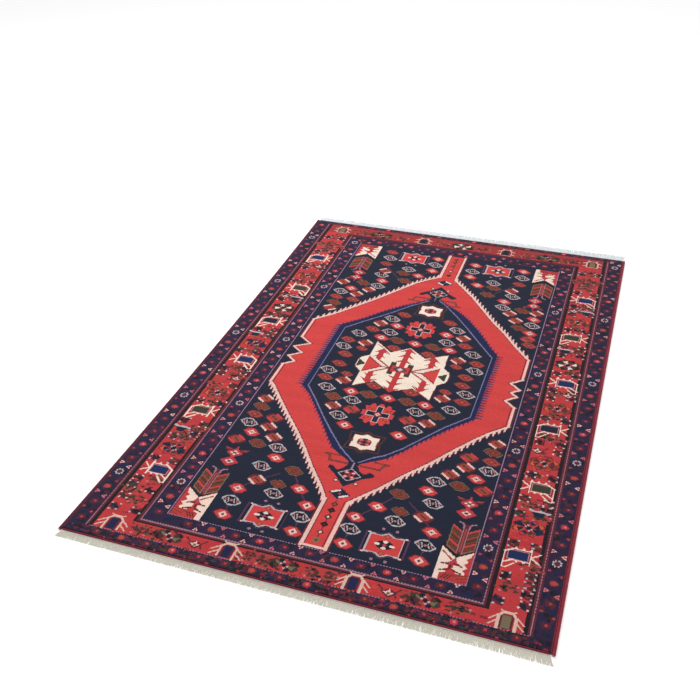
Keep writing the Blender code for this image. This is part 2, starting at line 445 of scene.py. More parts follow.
def cross_rosette(pen):
    """A red rosette with lobes all round and a dark cross in it."""
    pen.shape("coral", CROSS_BODY)
    for quarter in pen.quarters():
        for lobe in CROSS_LOBES:
            quarter.shape("coral", lobe)
        quarter.dots("russet", [(9, 8), (13, 10)], 1.4)
    for wool, half_u, half_v in (("mist", 4.4, 15.5), ("mist", 14, 4.4), ("ink", 3.4, 14.5),
                                 ("ink", 13, 3.4), ("teal", 2, 12)):
        pen.block(wool, -half_u, half_u, -half_v, half_v)
    for wool, half in (("rose", 5), ("blush", 3), ("maroon", 1.2)):
        pen.lozenge(wool, 0, 0, half, half)


IVORY_FRAME = [(-21, -16), (-7, -15), (0, -20), (8, -15), (22, -16), (19, 0), (22, 16), (8, 15), (0, 20),
               (-7, 15), (-21, 16), (-18, 0)]
IVORY_PANEL = [(-15.5, 12), (-6, 11.8), (0, 15.5), (7, 11.8), (16.5, 12), (15.6, 0), (16.5, -12),
               (7, -11.8), (0, -15.5), (-6, -11.8), (-15.5, -12), (-14.6, 0)]


def ivory_cartouche(pen):
    """An ivory panel with a pointed top and foot and a dark rosette, inside a brown frame."""
    pen.shape("bark", IVORY_FRAME)
    pen.shape("navy", stretched(IVORY_FRAME, 0.89, 0.87))
    pen.shape("russet", IVORY_PANEL)
    pen.shape("ivory", stretched(IVORY_PANEL, 0.91, 0.9))
    pen.lozenge("bark", 0, 0, 11, 8.6, 0.72)
    for quarter in pen.quarters():
        quarter.lozenge("rose", 4.2, 2.9, 4.0, 3.2, 0.9)
        quarter.lozenge("pink", 4.4, 3.0, 1.6, 1.4)
    pen.lozenge("ink", 0, 0, 2.2, 2.2)


RED_FRAME = [(-22.5, -14.5), (-22.5, 14.5), (-7, 14.5), (0, 19), (7, 14.5), (22.5, 14.5),
             (22.5, -14.5), (7, -14.5), (0, -19), (-7, -14.5)]
RED_PANEL = [(-18, -13.4), (-18, 13.4), (-7, 12.6), (0, 17), (7, 12.6), (18, 13.4),
             (18, -13.4), (7, -12.6), (0, -17), (-7, -12.6)]


def red_cartouche(pen):
    """A red panel with a pointed top and foot, a pale line and a purple frame round it, and a rosette."""
    pen.shape("purple", RED_FRAME)
    pen.shape("ink", stretched(RED_FRAME, 0.93, 0.92))
    pen.shape("mist", RED_PANEL)
    pen.shape("coral", stretched(RED_PANEL, 0.9, 0.88))
    for quarter in pen.quarters():
        quarter.dots("blush", [(19, 13.6)], 1.3)
        quarter.dots("dusty", [(7, 21)], 1.6)
    for end in (-1, 1):
        pen.lozenge("rust", 0, end * 11.5, 4.5, 4.0)
        pen.lozenge("orange", 0, end * 11.5, 1.6, 2.4)
    pen.lozenge("ink", 0, 0, 12, 8, 0.7)
    for end in (-1, 1):
        pen.lozenge("white", end * 7.4, 0, 4.0, 2.4, 0.8)
        pen.lozenge("white", 0, end * 4.3, 3.4, 2.2, 0.8)
    pen.lozenge("rose", 0, 0, 2.6, 2.0)


# Lozenges of the near spandrels: kind, knots out from the field's axis, row. Both sides have them.
NEAR_SPANDREL = [
    ("white", 139, 213), ("barred", 114.5, 212), ("rust", 139, 229), ("red barred", 114.5, 229),
    ("brown", 137.5, 245), ("barred", 139, 261), ("rose", 129, 197), ("barred", 101.5, 196),
    ("red barred", 140, 180.5), ("brown", 114.5, 180.5), ("white", 90, 180), ("rose", 85.5, 163.5),
    ("white", 95, 146.5), ("brown", 58.5, 149.5), ("barred", 90.5, 124.5), ("rose", 42.5, 124.5),
    ("white", 65.5, 110), ("rose", 104, 106), ("rose", 26, 103.5), ("white", 102.5, 87),
    ("white", 26.5, 86), ("rose", 102, 65.5), ("rose", 26, 64.5),
]
# Lozenges of the far spandrels: kind, column, row.
FAR_LEFT_SPANDREL = [
    ("barred", -139, 557), ("rose", -122, 542), ("barred", -97, 546), ("barred", -110, 529),
    ("white", -134, 530), ("rust", -135, 514), ("rust", -110, 513), ("brown", -133, 498),
    ("barred", -134, 483), ("white", -88, 560), ("brown", -110, 562), ("rose", -86, 576),
    ("white", -92, 593), ("barred", -90, 606), ("brown", -63, 607), ("rose", -40, 606),
    ("white", -58, 621), ("rose", -24, 627), ("white", -24, 646), ("rose", -24, 665),
    ("rust", -95, 628), ("white", -94, 647), ("rust", -96, 666), ("brown", -55, 586),
]
FAR_RIGHT_SPANDREL = [
    ("barred", 141, 553), ("rose", 140, 536), ("barred", 106, 542), ("barred", 117, 526),
    ("white", 140, 520), ("brown", 124, 509), ("rose", 140, 500), ("red barred", 140, 485),
    ("rust", 144, 471), ("brown", 121, 554), ("white", 94, 555), ("rose", 93, 571),
    ("white", 102, 588), ("barred", 98, 603), ("brown", 72, 604), ("rose", 48, 605),
    ("white", 69, 618), ("rose", 33, 626), ("white", 33, 643), ("rose", 34, 663), ("rust", 105, 625),
    ("white", 106, 645), ("rose", 105, 665), ("brown", 67, 583),
]
FAR_LEANING_BACK = ((-134, 483), (-90, 606))
SPANDREL_SIZE = 0.98
NEAR_STEMS = [
    [(102, 65.5), (102.5, 87), (104, 106), (90.5, 124.5), (71, 141)],
    [(26, 64.5), (26.5, 86), (26, 103), (42.5, 124.5), (58.5, 149.5)],
]
FAR_STEMS = [
    [(-96, 666), (-95, 628), (-82, 608), (-66, 590)],
    [(-24, 665), (-24, 627), (-40, 606), (-55, 586)],
    [(105, 665), (105, 625), (90, 606), (76, 588)],
    [(34, 663), (33, 626), (48, 605), (67, 583)],
]


def spandrels(cartoon):
    for side in (-1, 1):
        for stem in NEAR_STEMS:
            cartoon.at(FIELD_AXIS, 0, side).line("purple", stem, 1.5)
        for kind, out, v in NEAR_SPANDREL:
            LOZENGES[kind](cartoon.at(FIELD_AXIS + side * out, v), SPANDREL_SIZE)
        brown_lozenge(cartoon.at(FIELD_AXIS + side * 66.5, 125), 0.85)
    for stem in FAR_STEMS:
        cartoon.line("purple", stem, 1.5)
    for kind, u, v in FAR_LEFT_SPANDREL + FAR_RIGHT_SPANDREL:
        LOZENGES[kind](cartoon.at(u, v, -1 if (u, v) in FAR_LEANING_BACK else 1), SPANDREL_SIZE)


# Diamonds of the poles: row, wool of the edge, wool of the middle.
NEAR_POLE = ((61, "olive", "bark"), (72.5, "maroon", "blush"), (84, "ink", "maroon"), (95, "bark", "cream"),
             (105, "ink", "maroon"), (114.5, "bark", "rust"))
FAR_POLE = ((620, "ink", "maroon"), (633, "bark", "cream"), (650, "bark", "olive"), (662, "maroon", "rust"),
            (671, "bark", "rust"))


def pole_medallions(cartoon):
    """A chain of small dark diamonds down the middle of each pole, on a thin line."""
    for near, far, u, diamonds in ((58, 120, FIELD_AXIS, NEAR_POLE),
                                   (618, 676, FIELD_AXIS - 1.5, FAR_POLE)):
        cartoon.line("maroon", [(FIELD_AXIS, near), (FIELD_AXIS, far)], 1.0)
        for v, outer, inner in diamonds:
            cartoon.lozenge(outer, u, v, 4.2, 4.2)
            cartoon.lozenge(inner, u, v, 1.9, 1.9)


APEX_OUTLINE = [(-0.5, -20), (-6.5, -13), (-13.5, -5), (-25.5, 5), (-26.5, 10), (-20.5, 9), (-15.5, 4),
                (-10.5, 8), (-6.5, 16), (-8.5, 22), (6.5, 22), (4.5, 16), (8.5, 9), (14.5, 5), (20.5, 10),
                (26.5, 7), (26.5, 4), (13.5, -4), (5.5, -14)]


def apex(pen):
    """The hooked neck between a pole and the hexagon, with a lizard on each side of it."""
    for half in pen.halves():
        for wool, lift, width in (("bark", 0, 3.0), ("rust", 0.3, 1.2)):
            half.line(wool, [(8, 17 + lift), (28, 17 + lift), (31, 25 + lift)], width)
            half.line(wool, [(20, 28), (36, 27)], width * 0.8)
        half.dots("maroon", [(11, -12)], 2.9)
        half.dots("blush", [(11, -12)], 1.5)
    pen.shape("navy", APEX_OUTLINE)
    pen.lozenge("mist", 0, 0, 13.5, 10.5, 0.94)
    pen.lozenge("ink", 0, 0, 12, 9.2, 0.94)
    for quarter in pen.quarters():
        quarter.lozenge("rose", 3.8, 3.2, 3.8, 3.2, 0.9)
        quarter.lozenge("blush", 3.8, 3.2, 1.8, 1.4)
    pen.lozenge("rust", 0, 0, 2, 2)
    pen.line("lilac", [(-1, 10), (-1, 20)], 1.2)


def bow_tie(pen):
    """A dark lozenge with a pale bar at each end."""
    pen.lozenge("blue", 0, 0, 12, 8.6)
    pen.lozenge("navy", 0, 0, 11, 7.8)
    for end in (-1, 1):
        pen.line("white", [(-8.5 * end, end), (-1.5 * end, 5.0 * end)], 2.4)
    pen.lozenge("rust", 0, 0, 1.6, 1.6)


# ---- the corners of the field ----------------------------------------------------------------------

VASE_BODY = [(-18, 22), (0, 8), (14.5, 21.5), (14.5, -10), (12, -10), (12, -21), (-18, -21)]
VASE_SIDES = (
    [(14.5, 21.5), (-1, 9.5), (1, 5), (5, 1.5), (10, -0.5), (3.5, -1.5), (3.5, -5), (10, -9.5),
     (4, -10), (4, -11.5), (9, -12.5), (9, -21), (14.5, -21)],
    [(-17, 21), (-1.5, 9.5), (-4, 3.5), (-9, 0), (-1.5, -1), (-1, -5), (-9, -9), (-2, -10.5),
     (-13, -11), (-14, -8), (-11, -5), (-15, -1), (-10.5, 3), (-14, 7), (-11.5, 10), (-15, 13)],
)
VASE_FIR = (
    [(11, -1), (2.5, 1)], [(-10, -1), (-1.5, 1.5)], [(11, -10), (2.5, -7)], [(-10, -9.5), (-1.5, -7)],
    [(1.5, 0), (1.5, -6)],
)


def vase(pen):
    """A toothed vase with a small fir in it, drawn about its middle with its mouth up."""
    pen.shape("madder", VASE_BODY)
    for lift in range(3):
        pen.line("russet", [(-17.5, -10 - 4 * lift), (-4 - 3 * lift, -14 - 3 * lift)], 1.4)
        pen.line("bark", [(-3 + 3 * lift, -13), (1 + 3 * lift, -19)], 1.2)
    for outline in VASE_SIDES:
        pen.shape("cream", outline)
    for branch in VASE_FIR:
        pen.line("bark", branch, 1.6)
    pen.line("rust", [(12, 15), (0.5, 5)], 1.8)
    pen.shape("rose", [(-2, 4), (1, 6), (4, 2), (1, -1)])
    pen.line("ink", [(-16, 25), (0, 13), (14, 25)], 2.2)


BRANCH_WOOLS = ("coral", "rust", "bark", "russet", "moss", "rust", "russet", "bark", "moss", "russet",
                "bark")
BRANCHES = 17
BRANCH_PITCH = 1.8


def tree(pen):
    """A little tree with feathered branches. The stem of an upside-down one has no dark middle."""
    for number in range(BRANCHES):
        drop = number * BRANCH_PITCH
        for half in pen.halves():
            half.line(BRANCH_WOOLS[number % len(BRANCH_WOOLS)], [(2, 8.5 - drop), (13.2, 16.5 - drop)], 2.0)
    for half in pen.halves():
        half.line("olive", [(13.8, 15), (13.8, -12), (3, -20)], 0.9)
        half.line("dusty", [(3, 15), (4, 21), (8, 22.5)], 1.6)
    if pen.up > 0:
        pen.block("maroon", -3.2, 3.2, -19, 20)
    for half in pen.halves():
        half.line("dusty", [(2.2, -19), (2.2, 19)], 0.9)
    pen.line("rust", [(0, -18), (0, 14)], 1.2)


def insect(pen):
    """Two winged lozenges, one above the other, with feelers."""
    for wool, reach, rise in (("rust", 15.5, 23), ("maroon", 7, 22), ("maroon", 15.5, 20)):
        for half in pen.halves():
            half.shape(wool, [(2, 12), (reach, rise), (1, 19)])
    pen.shape("rose", [(-2.5, 15), (0, 28), (2.5, 15)])
    for lift, size in ((0, 1.0), (14.5, 0.9)):
        body = pen.at(0, lift)
        body.lozenge("madder", 0, 0, 11 * size, 8.6 * size, 0.88)
        body.lozenge("rose", 0, 0, 8 * size, 6 * size)
        for u, v in ((-3, 0), (3, 0), (0, 2.4), (0, -2.4)):
            body.lozenge("blush", u, v, 2.2, 1.8)
        body.lozenge("moss", 0, 0, 2.2, 1.6)


# Motifs with their places: column, row and, where mirrored, side and up. The necks lie under the lozenges.
NECKS = (
    (apex, ((3.5, 162), (1, 564, 1, -1))),
    (bow_tie, ((3.5, 131), (2, 596, 1, -1))),
)
FIELD_MOTIFS = (
    (cross_rosette, ((0.5, 272), (0.5, 465))),
    (ivory_cartouche, ((1.5, 219), (1.5, 515))),
    (red_cartouche, ((-57.5, 76), (69, 75), (-59, 657), (69, 655))),
    (vase, ((-131, 71), (137, 71, -1), (-130, 659, 1, -1), (136.5, 658, -1, -1))),
    (tree, ((-131.5, 107), (139.5, 107), (-131, 618, 1, -1), (138.5, 617, 1, -1))),
    (insect, ((-127.5, 143), (134.5, 143), (-125.5, 590, 1, -1), (134, 586, 1, -1))),
)


def draw_all(cartoon, motifs):
    for motif, places in motifs:
        for place in places:
            motif(cartoon.at(*place))


def field(cartoon):
    medallion(cartoon)
    hexagon(cartoon)
    draw_all(cartoon, NECKS)
    hexagon_lozenges(cartoon)
    star(cartoon)
    pole_medallions(cartoon)
    spandrels(cartoon)
    draw_all(cartoon, FIELD_MOTIFS)


# ---- the borders -----------------------------------------------------------------------------------

PETAL_HALF_WIDTH = 0.40
ROSETTE_DOTS = [(-3.4, 1.3), (3.4, -1.3), (-1, 3.6), (1, -3.6)]


def border_rosette(pen, wools, wide, tall):
    """Eight petals round a dark eye with four pale dots. wools: (petal edge, petal heart) by turns."""
    for index in range(8):
        angle = math.pi * (index + 0.5) / 4
        u, v = wide * math.cos(angle), tall * math.sin(angle)
        edge, heart = wools[index % len(wools)]
        for wool, share in (("maroon", 1.12), (edge, 1.0), (heart, 0.72)):
            width = PETAL_HALF_WIDTH * share
            pen.shape(wool, [(u * 0.25, v * 0.25), (u * 0.75 - v * width, v * 0.75 + u * width * 0.8),
                             (u * share, v * share), (u * 0.75 + v * width, v * 0.75 - u * width * 0.8)])
    pen.lozenge("ink", 0, 0, wide * 0.26, tall * 0.34)
    pen.dots("mist", ROSETTE_DOTS, 1.1)


# Cream lines of the beetle: points and width.
BEETLE_LINES = (
    ([(11.5, -10), (11.5, 11), (10, 8), (-6, 8), (-13.5, 3), (-13.5, -18)], 1.75),
    ([(-13, -12), (-5, -6.5)], 1.5),
    ([(-13, -18), (-10, -18), (-3, -11)], 1.6),
    ([(-7, -7), (10, -7)], 1.7),
    ([(12, 0), (20, 7)], 1.5),
    ([(12, 0), (20, -6)], 1.5),
)


def beetle(pen, window):
    """A cream beetle with a dark back and prongs to its right."""
    pen.shape("maroon", [(-12, -7), (-12, 8), (11, 8), (11, -7)])
    pen.shape("pink", [(-11, -6), (-11, 6.6), (10, 6.6), (10, -6)])
    pen.shape(window, [(-10, -5), (-10, 5.4), (9, 5.4), (9, -5)])
    for points, width in BEETLE_LINES:
        pen.line("cream", points, width)
    for u in (-4, 3.5, 10.5):
        pen.shape("cream", [(u - 2, 8), (u + 0.5, 12), (u + 2, 8)])
    for u in (-1, 5.5):
        pen.shape("cream", [(u - 2, -7), (u, -10), (u + 2, -7)])
    pen.line("maroon", [(14, 0), (20, 0)], 1.3)


def arch(pen, window, closed=False):
    """The same creature in an end border: two legs, a round top and prongs.

    A closed one has a line across its foot.
    """
    pen.shape("maroon", [(-6, -8), (-6, 8), (6, 8), (6, -8)])
    pen.shape(window, [(-4, -8), (-4, 7), (4, 7), (4, -8)])
    top = [(-8, -9), (-8, 5), (-4, 10), (4, 10), (8, 5), (8, -9)]
    pen.line("sand", top, 1.9 if closed else 2.2)
    if closed:
        pen.line("sand", [(-7, -9), (7, -9)], 1.6)
    prongs = [[(8, 6), (16, -1)], [(8, 0), (16, -7)]]
    if closed:
        prongs = [[(8, 6), (13, 3)], [(8, -3), (13, -6)]]
    for half in pen.halves():
        for prong in prongs:
            half.line("sand", prong, 1.5)
        half.line("sand", [(4, 10), (7, 12)], 1.3)


LEAF_DOTS = ("mist", "blush", "mist")


def leaf_block(pen, wool):
    """A ragged dark leaf with pale dots at its corners."""
    chance = np.random.default_rng(4000 + 7 * pen.u + pen.v)
    pen.shape("maroon", [(-6, -4.5), (5, -5.5), (6, 4.5), (-4.5, 5.5)])
    for other in (wool, "madder", "ink", wool, wool):
        u, v = chance.uniform(-3.4, 3.4), chance.uniform(-2.8, 2.8)
        pen.lozenge(other, round(u), round(v), chance.uniform(2, 4.4), chance.uniform(1.6, 3.6))
    corners = np.array([(-4.4, -3.8), (4.4, -3.8), (-4.4, 3.8), (4.4, 3.8)]) + chance.normal(0, 0.7, (4, 2))
    dots = LEAF_DOTS[chance.integers(len(LEAF_DOTS))]
    pen.dots(dots, corners[chance.random(len(corners)) < 0.8], 1.2)


BUSH_WOOLS = ("maroon", "bark", "bark", "moss", "ink", "madder", "rust")
BUSH_LEAVES = 34


def bush(pen, seed):
    """A brown bush: its leaves are too small to draw one by one."""
    chance = np.random.default_rng(100 + seed)
    pen.lozenge("rust", 0, 0, 13, 8, 0.8)
    for _ in range(BUSH_LEAVES):
        wool = BUSH_WOOLS[chance.integers(len(BUSH_WOOLS))]
        u, v = chance.normal(0, 5.2), chance.normal(0, 3.4)
        pen.lozenge(wool, round(u), round(v), chance.uniform(1.2, 3.2), chance.uniform(1, 2.2))
    pen.dots("pink", [(-7, -6), (9, 2)], 1.0)


def pale_bird(pen):
    """A small bird in brown with a pale breast."""
    pen.line("maroon", [(-11, 6), (-4, 0), (-1, -5)], 1.6)
    pen.line("maroon", [(10, 6), (5, 0), (8, -4)], 1.6)
    pen.shape("maroon", [(-8, 0), (0, 5), (8, 0), (1, -6)])
    pen.shape("blush", [(-5, 0), (-2, 1), (0, 4.4), (2, 1), (5, 0), (1, -4)])
    pen.dots("olive", [(0, -1)], 1.5)


def boat(pen):
    """A dark hull with a pale rim."""
    pen.shape("navy", [(-7, -1), (7, -1), (4, -8), (-4, -8)])
    pen.line("mist", [(-9, 1), (-5, -0.5), (4, 0), (9, -1)], 2.6)


BLUE_PETALS = (("orange", "navy"), ("madder", "blue"), ("rust", "bark"), ("indigo", "navy"))
DARK_PETALS = (("orange", "maroon"), ("rust", "bark"), ("coral", "russet"), ("russet", "maroon"))
CREAM_PETALS = (("moss", "cream"), ("ink", "moss"))
END_PETALS = (("ink", "bark"), ("maroon", "rust"), ("ink", "navy"), ("moss", "olive"))


def guard_pair(pen, upright, wool, slant):
    """Two little hearts, one each side of the guard's middle, pointing at each other."""
    heart = "rose" if wool != "maroon" else "rust"
    for way in (-1, 1):
        if upright:
            leaf = pen.at(way * 5.2, way * -2.8)
            leaf.shape(wool, [(way * 2.6, 3.2), (way * 2.6, -3.2), (way * -3.0, 0)])
            leaf.dots(heart, [(way * 0.8, 0)], 1.3)
        else:
            leaf = pen.at(way * -2.2 * slant, way * 4.6)
            leaf.shape(wool, [(-3.1, way * 2.1), (3.1, way * 2.1), (0, way * -2.5)])
            leaf.dots(heart, [(0, way * 0.6)], 1.3)


FLOWER_RING = [(-3.6, -1.6), (-1.6, -3.6), (1.8, -3.4), (3.6, -1.4), (3.4, 1.8), (1.6, 3.6), (-1.8, 3.4),
               (-3.6, 1.4)]


def guard_flower(pen, petals, eye):
    """A small flower. Pale ones are a ring of eight petals."""
    if petals == "mist":
        pen.dots("maroon", [(0, 0)], 3.6)
        pen.dots(petals, FLOWER_RING, 1.1)
        pen.dots(eye, [(0, 0)], 1.4)
        return
    pen.lozenge("plum", 0, 0, 7.0, 6.0, 0.78)
    pen.lozenge(petals, 0, 0, 5.2, 4.6, 0.8)
    pen.dots("aubergine", [(0, 4.0), (0, -4.0), (-4.4, 0)], 1.2)
    pen.dots(eye, [(0.6, 0.4)], 1.6)


FLOWERS = (("maroon", "rust"), ("rust", "coral"), ("mist", "maroon"), ("maroon", "rose"),
           ("madder", "pink"), ("plum", "madder"))
END_FLOWERS = FLOWERS[:2] + FLOWERS[3:]


def guard(cartoon, middle, start, end, upright, first, repeat, hearts, flowers=FLOWERS):
    """Flowers and pairs of hearts by turns along a guard, one flower at the row or column first."""
    number = -int((first - start) / repeat)
    place = first + number * repeat
    while place < end - 3:
        petals, eye = flowers[number % len(flowers)]
        guard_flower(cartoon.at(*((middle, place) if upright else (place, middle))), petals, eye)
        place += repeat / 2
        if place < end - 3:
            pen = cartoon.at(*((middle, place) if upright else (place, middle)))
            guard_pair(pen, upright, hearts[number % len(hearts)], 1 if number % 2 else -1)
        place += repeat / 2
        number += 1


def small_leaves(cartoon, window, count, seed, wools, widths, heights, flat):
    """Leaves of wools at chance places in a window, each wholly inside it."""
    chance = np.random.default_rng(seed)
    left, right, near, far = window
    for _ in range(count):
        wool = wools[chance.integers(len(wools))]
        wide, tall = chance.uniform(*widths), chance.uniform(*heights)
        u = chance.uniform(left + wide, right - wide)
        v = chance.uniform(near + tall, far - tall)
        cartoon.lozenge(wool, round(u), round(v), wide, tall, flat)


GUARD_WOOLS = ("navy", "indigo", "ink", "plum", "navy")
RED_LOTS = ("scarlet", "scarlet", "garnet", "coral")
CROWD_WOOLS = ("ink", "ink", "navy", "indigo", "teal", "moss", "maroon", "maroon", "garnet")


def guard_ground(cartoon, window, count):
    """The guards' ground was spun from several dark lots, and small leaves of them crowd it."""
    cartoon.block("aubergine", *window)
    small_leaves(cartoon, window, count, 5, GUARD_WOOLS, (2, 5), (2, 5), 0.8)


def crowd(cartoon, left, right, near, far, count):
    """The end guards are full of little dark leaves and buds, packed too close to tell apart."""
    chance = np.random.default_rng(9)
    for _ in range(count):
        wool = CROWD_WOOLS[chance.integers(len(CROWD_WOOLS))]
        u, v = chance.uniform(left, right), chance.uniform(near, far)
        cartoon.lozenge(wool, round(u), round(v), chance.uniform(1, 4), chance.uniform(0.8, 2.4))


# Grounds and the lines between them, each over the last: wool, then first and last column and row.
MAIN_BORDER_BANDS = (
    ("maroon", -221, 222, 10, 734), ("dusty", -220, 220, 10, 734), ("maroon", -219, 219, 11, 733),
    ("ink", -217, 217, 11, 733), ("madder", -213, 213, 11, 733),
)
INNER_GUARD_BANDS = (("ink", -178, 180, 29, 706), ("maroon", -175, 176, 31, 703),
                     ("dusty", -172, 174, 33, 701))
FIELD_BANDS = (("lilac", -151, 155, 49, 684), ("navy", -150, 154, 50, 683))


def bands(cartoon, rows):
    for row in rows:
        cartoon.block(*row)


def borders(cartoon):
    guard_ground(cartoon, (-240, 240, 0, 743), 7600)
    bands(cartoon, MAIN_BORDER_BANDS)
    # The border's red comes from more than one dye lot.
    small_leaves(cartoon, (-213, 213, 11, 733), 2200, 31, RED_LOTS, (3, 14), (1.5, 5), 0.4)
    bands(cartoon, INNER_GUARD_BANDS)
    guard_ground(cartoon, (-171, 173, 35, 700), 4800)
    bands(cartoon, FIELD_BANDS)
    # The far end of the main border is painted a duller red: painted shade, where the far end of the pile
    # looks darker under the light.
    cartoon.block("shaded_madder", -213, 213, 706, 733)
    crowd(cartoon, -236, 236, 0, 9, 700)
    crowd(cartoon, -236, 236, 735, 743, 500)
    for v, left, right in ((10, -218, 221), (34, -170, 173), (49, -150, 154)):
        for u in range(left, right, 3):
            cartoon.block("ink", u, u, v, v)
    for v, left, right in ((734, -220, 220), (701, -172, 174), (684, -151, 155)):
        cartoon.block("plum", left, right, v, v)
    for u in (-220, 220, 174):
        for v in range(36, 700, 4):
            cartoon.block("maroon", u, u, v, v)
    # The overcasting bites into the outermost knots.
    cartoon.block("maroon", -240, -240, 0, 743)
    cartoon.block("garnet", 240, 240, 0, 743)


# Leaves of the side borders: column, row, wool.
RIGHT_LEAVES = (
    (186, 42, "navy"), (210, 42, "navy"), (210, 55, "ink"), (211, 67, "bark"), (187, 73, "ink"),
    (210, 79, "bark"), (187, 117, "bark"), (209, 117, "russet"), (186, 160, "moss"), (210, 172, "ink"),
    (211, 183, "moss"), (187, 184, "bark"), (187, 223, "navy"), (210, 222, "ink"), (209, 266, "bark"),
    (187, 280, "ink"), (210, 280, "navy"), (187, 325, "moss"), (210, 325, "navy"), (187, 366, "ink"),
    (210, 372, "bark"), (187, 383, "navy"), (210, 384, "moss"), (187, 419, "bark"), (210, 419, "ink"),
    (187, 462, "navy"), (210, 465, "ink"), (187, 484, "moss"), (210, 484, "bark"), (187, 525, "ink"),
    (210, 525, "navy"), (187, 566, "bark"), (210, 570, "ink"), (187, 588, "navy"), (210, 588, "moss"),
    (187, 627, "ink"), (210, 627, "bark"), (187, 684, "navy"), (210, 686, "ink"),
)
LEFT_LEAVES = (
    (-207, 42, "navy"), (-184, 43, "ink"), (-207, 60, "bark"), (-184, 74, "ink"), (-207, 78, "moss"),
    (-207, 88, "navy"), (-184, 124, "russet"), (-207, 124, "navy"), (-207, 163, "bark"),
    (-184, 172, "navy"), (-183, 192, "moss"), (-208, 193, "ink"), (-183, 234, "navy"),
    (-208, 235, "ink"), (-183, 272, "bark"), (-182, 303, "moss"), (-209, 293, "bark"),
    (-209, 304, "navy"), (-184, 311, "ink"), (-208, 348, "moss"), (-184, 348, "navy"),
    (-184, 388, "bark"), (-207, 402, "ink"), (-184, 405, "moss"), (-207, 442, "bark"),
    (-184, 442, "navy"), (-207, 484, "ink"), (-184, 484, "moss"), (-207, 500, "navy"),
    (-184, 502, "bark"), (-207, 538, "bark"), (-184, 538, "ink"), (-207, 580, "navy"),
    (-184, 582, "moss"), (-207, 596, "ink"), (-184, 596, "bark"), (-207, 634, "navy"),
    (-184, 634, "ink"), (-207, 685, "ink"), (-184, 686, "navy"),
)
RIGHT_BUSHES = (
    (192, 60), (207, 92), (193, 176), (207, 160), (190, 222), (206, 288), (192, 290), (200, 332),
    (192, 376), (205, 424), (191, 470), (205, 478), (197, 528), (193, 578), (204, 590), (197, 649),
    (197, 667), (186, 660), (209, 662), (198, 640), (198, 656), (198, 690),
)
LEFT_BUSHES = (
    (-191, 58), (-203, 70), (-188, 92), (-189, 163), (-200, 172), (-186, 183), (-190, 236), (-206, 270),
    (-188, 292), (-196, 310), (-190, 350), (-204, 388), (-190, 396), (-195, 444), (-190, 490),
    (-204, 498), (-195, 540), (-190, 588), (-204, 590), (-195, 649), (-195, 667), (-184, 660),
    (-207, 660), (-195, 640), (-196, 656), (-195, 691),
)
RIGHT_BOATS = ((204, 168), (190, 476), (205, 578))
LEFT_BOATS = ((-204, 182), (-205, 393), (-188, 495))
RIGHT_BIRDS = ((187, 264), (206, 376), (189, 575))
LEFT_BIRDS = ((-186, 287), (-204, 492), (-188, 588))
# Beetles of the side borders: row, wool of the back, side that the prongs point to.
LEFT_BEETLES = ((107, "blue", -1), (217, "moss", 1), (329, "blue", -1), (426, "navy", 1), (520, "moss", -1),
                (615, "blue", 1))
RIGHT_BEETLES = ((102, "blue", 1), (203, "moss", -1), (306, "navy", 1), (400, "blue", -1), (506, "moss", 1),
                 (607, "blue", -1))
# Rosettes of the side borders: row, petals.
LEFT_ROSETTES = ((144, BLUE_PETALS), (254, DARK_PETALS), (368, BLUE_PETALS), (462, CREAM_PETALS),
                 (558, DARK_PETALS))
RIGHT_ROSETTES = ((142, BLUE_PETALS), (244, DARK_PETALS), (347, DARK_PETALS), (441, CREAM_PETALS),
                  (546, DARK_PETALS))


def side_border(cartoon, axis, first_bush, bushes, leaves, beetles, rosettes, boats, birds):
    """Beetles and rosettes down the border's axis, over bushes and leaves."""
    for number, place in enumerate(bushes):
        bush(cartoon.at(*place), first_bush + number)
    for u, v, wool in leaves:
        leaf_block(cartoon.at(u, v), wool)
    for row, window, side in beetles:
        beetle(cartoon.at(axis - side * 3, row, side), window)
    for row, petals in rosettes:
        border_rosette(cartoon.at(axis, row), petals, 16, 12)
    draw_all(cartoon, ((boat, boats), (pale_bird, birds)))


NEAR_BUSHES = (-165, -151, -46, -32, 17, 32, 110, 156)
FAR_BUSHES = (-162, -150, -93, -28, 36, 101, 158, 171)
NEAR_ARCHES = ((-195.5, "indigo"), (-71.5, "indigo"), (56, "indigo"), (198, "olive"))
FAR_ARCHES = ((-192, "olive"), (-59, "navy"), (70, "navy"), (198.6, "olive"))


def end_borders(cartoon):
    for number, u in enumerate(NEAR_BUSHES):
        bush(cartoon.at(u, 20), 40 + number)
    for u, window in NEAR_ARCHES:
        arch(cartoon.at(u, 20), window)
    for u in (-134, -13, 124):
        border_rosette(cartoon.at(u, 20.5), END_PETALS, 15, 8)
    for u in (-105, 90):
        pale_bird(cartoon.at(u, 19))
    for number, u in enumerate(FAR_BUSHES):
        bush(cartoon.at(u, 717), 60 + number)
    for u, window in FAR_ARCHES:
        arch(cartoon.at(u, 717), window, closed=True)
    for u, petals in ((-128, END_PETALS), (2.6, CREAM_PETALS), (133, END_PETALS)):
        border_rosette(cartoon.at(u, 717), petals, 18, 11)


def guards(cartoon):
    guard(cartoon, -161, 40, 700, True, 194.3, 24.3, ("blush", "plum", "pink"))
    guard(cartoon, 165, 40, 700, True, 51.4, 25.6, ("blush", "plum", "pink", "maroon"))
    guard(cartoon, -231, 6, 740, True, 188.6, 24.4, ("blush", "plum", "pink", "maroon"))
    guard(cartoon, 231, 6, 740, True, 51.4, 25.6, ("pink", "plum", "blush", "maroon"))
    guard(cartoon, 42, -146, 155, False, -124.5, 25.7, ("blush", "pink"), END_FLOWERS)
    guard(cartoon, 691.5, -165, 165, False, -150, 25.6, ("pink", "plum"), END_FLOWERS)
    guard(cartoon, 4.5, -215, 215, False, -205, 27.6, ("plum", "maroon"), END_FLOWERS)
    guard(cartoon, 739, -215, 215, False, -205, 27.6, ("maroon", "plum"), END_FLOWERS)


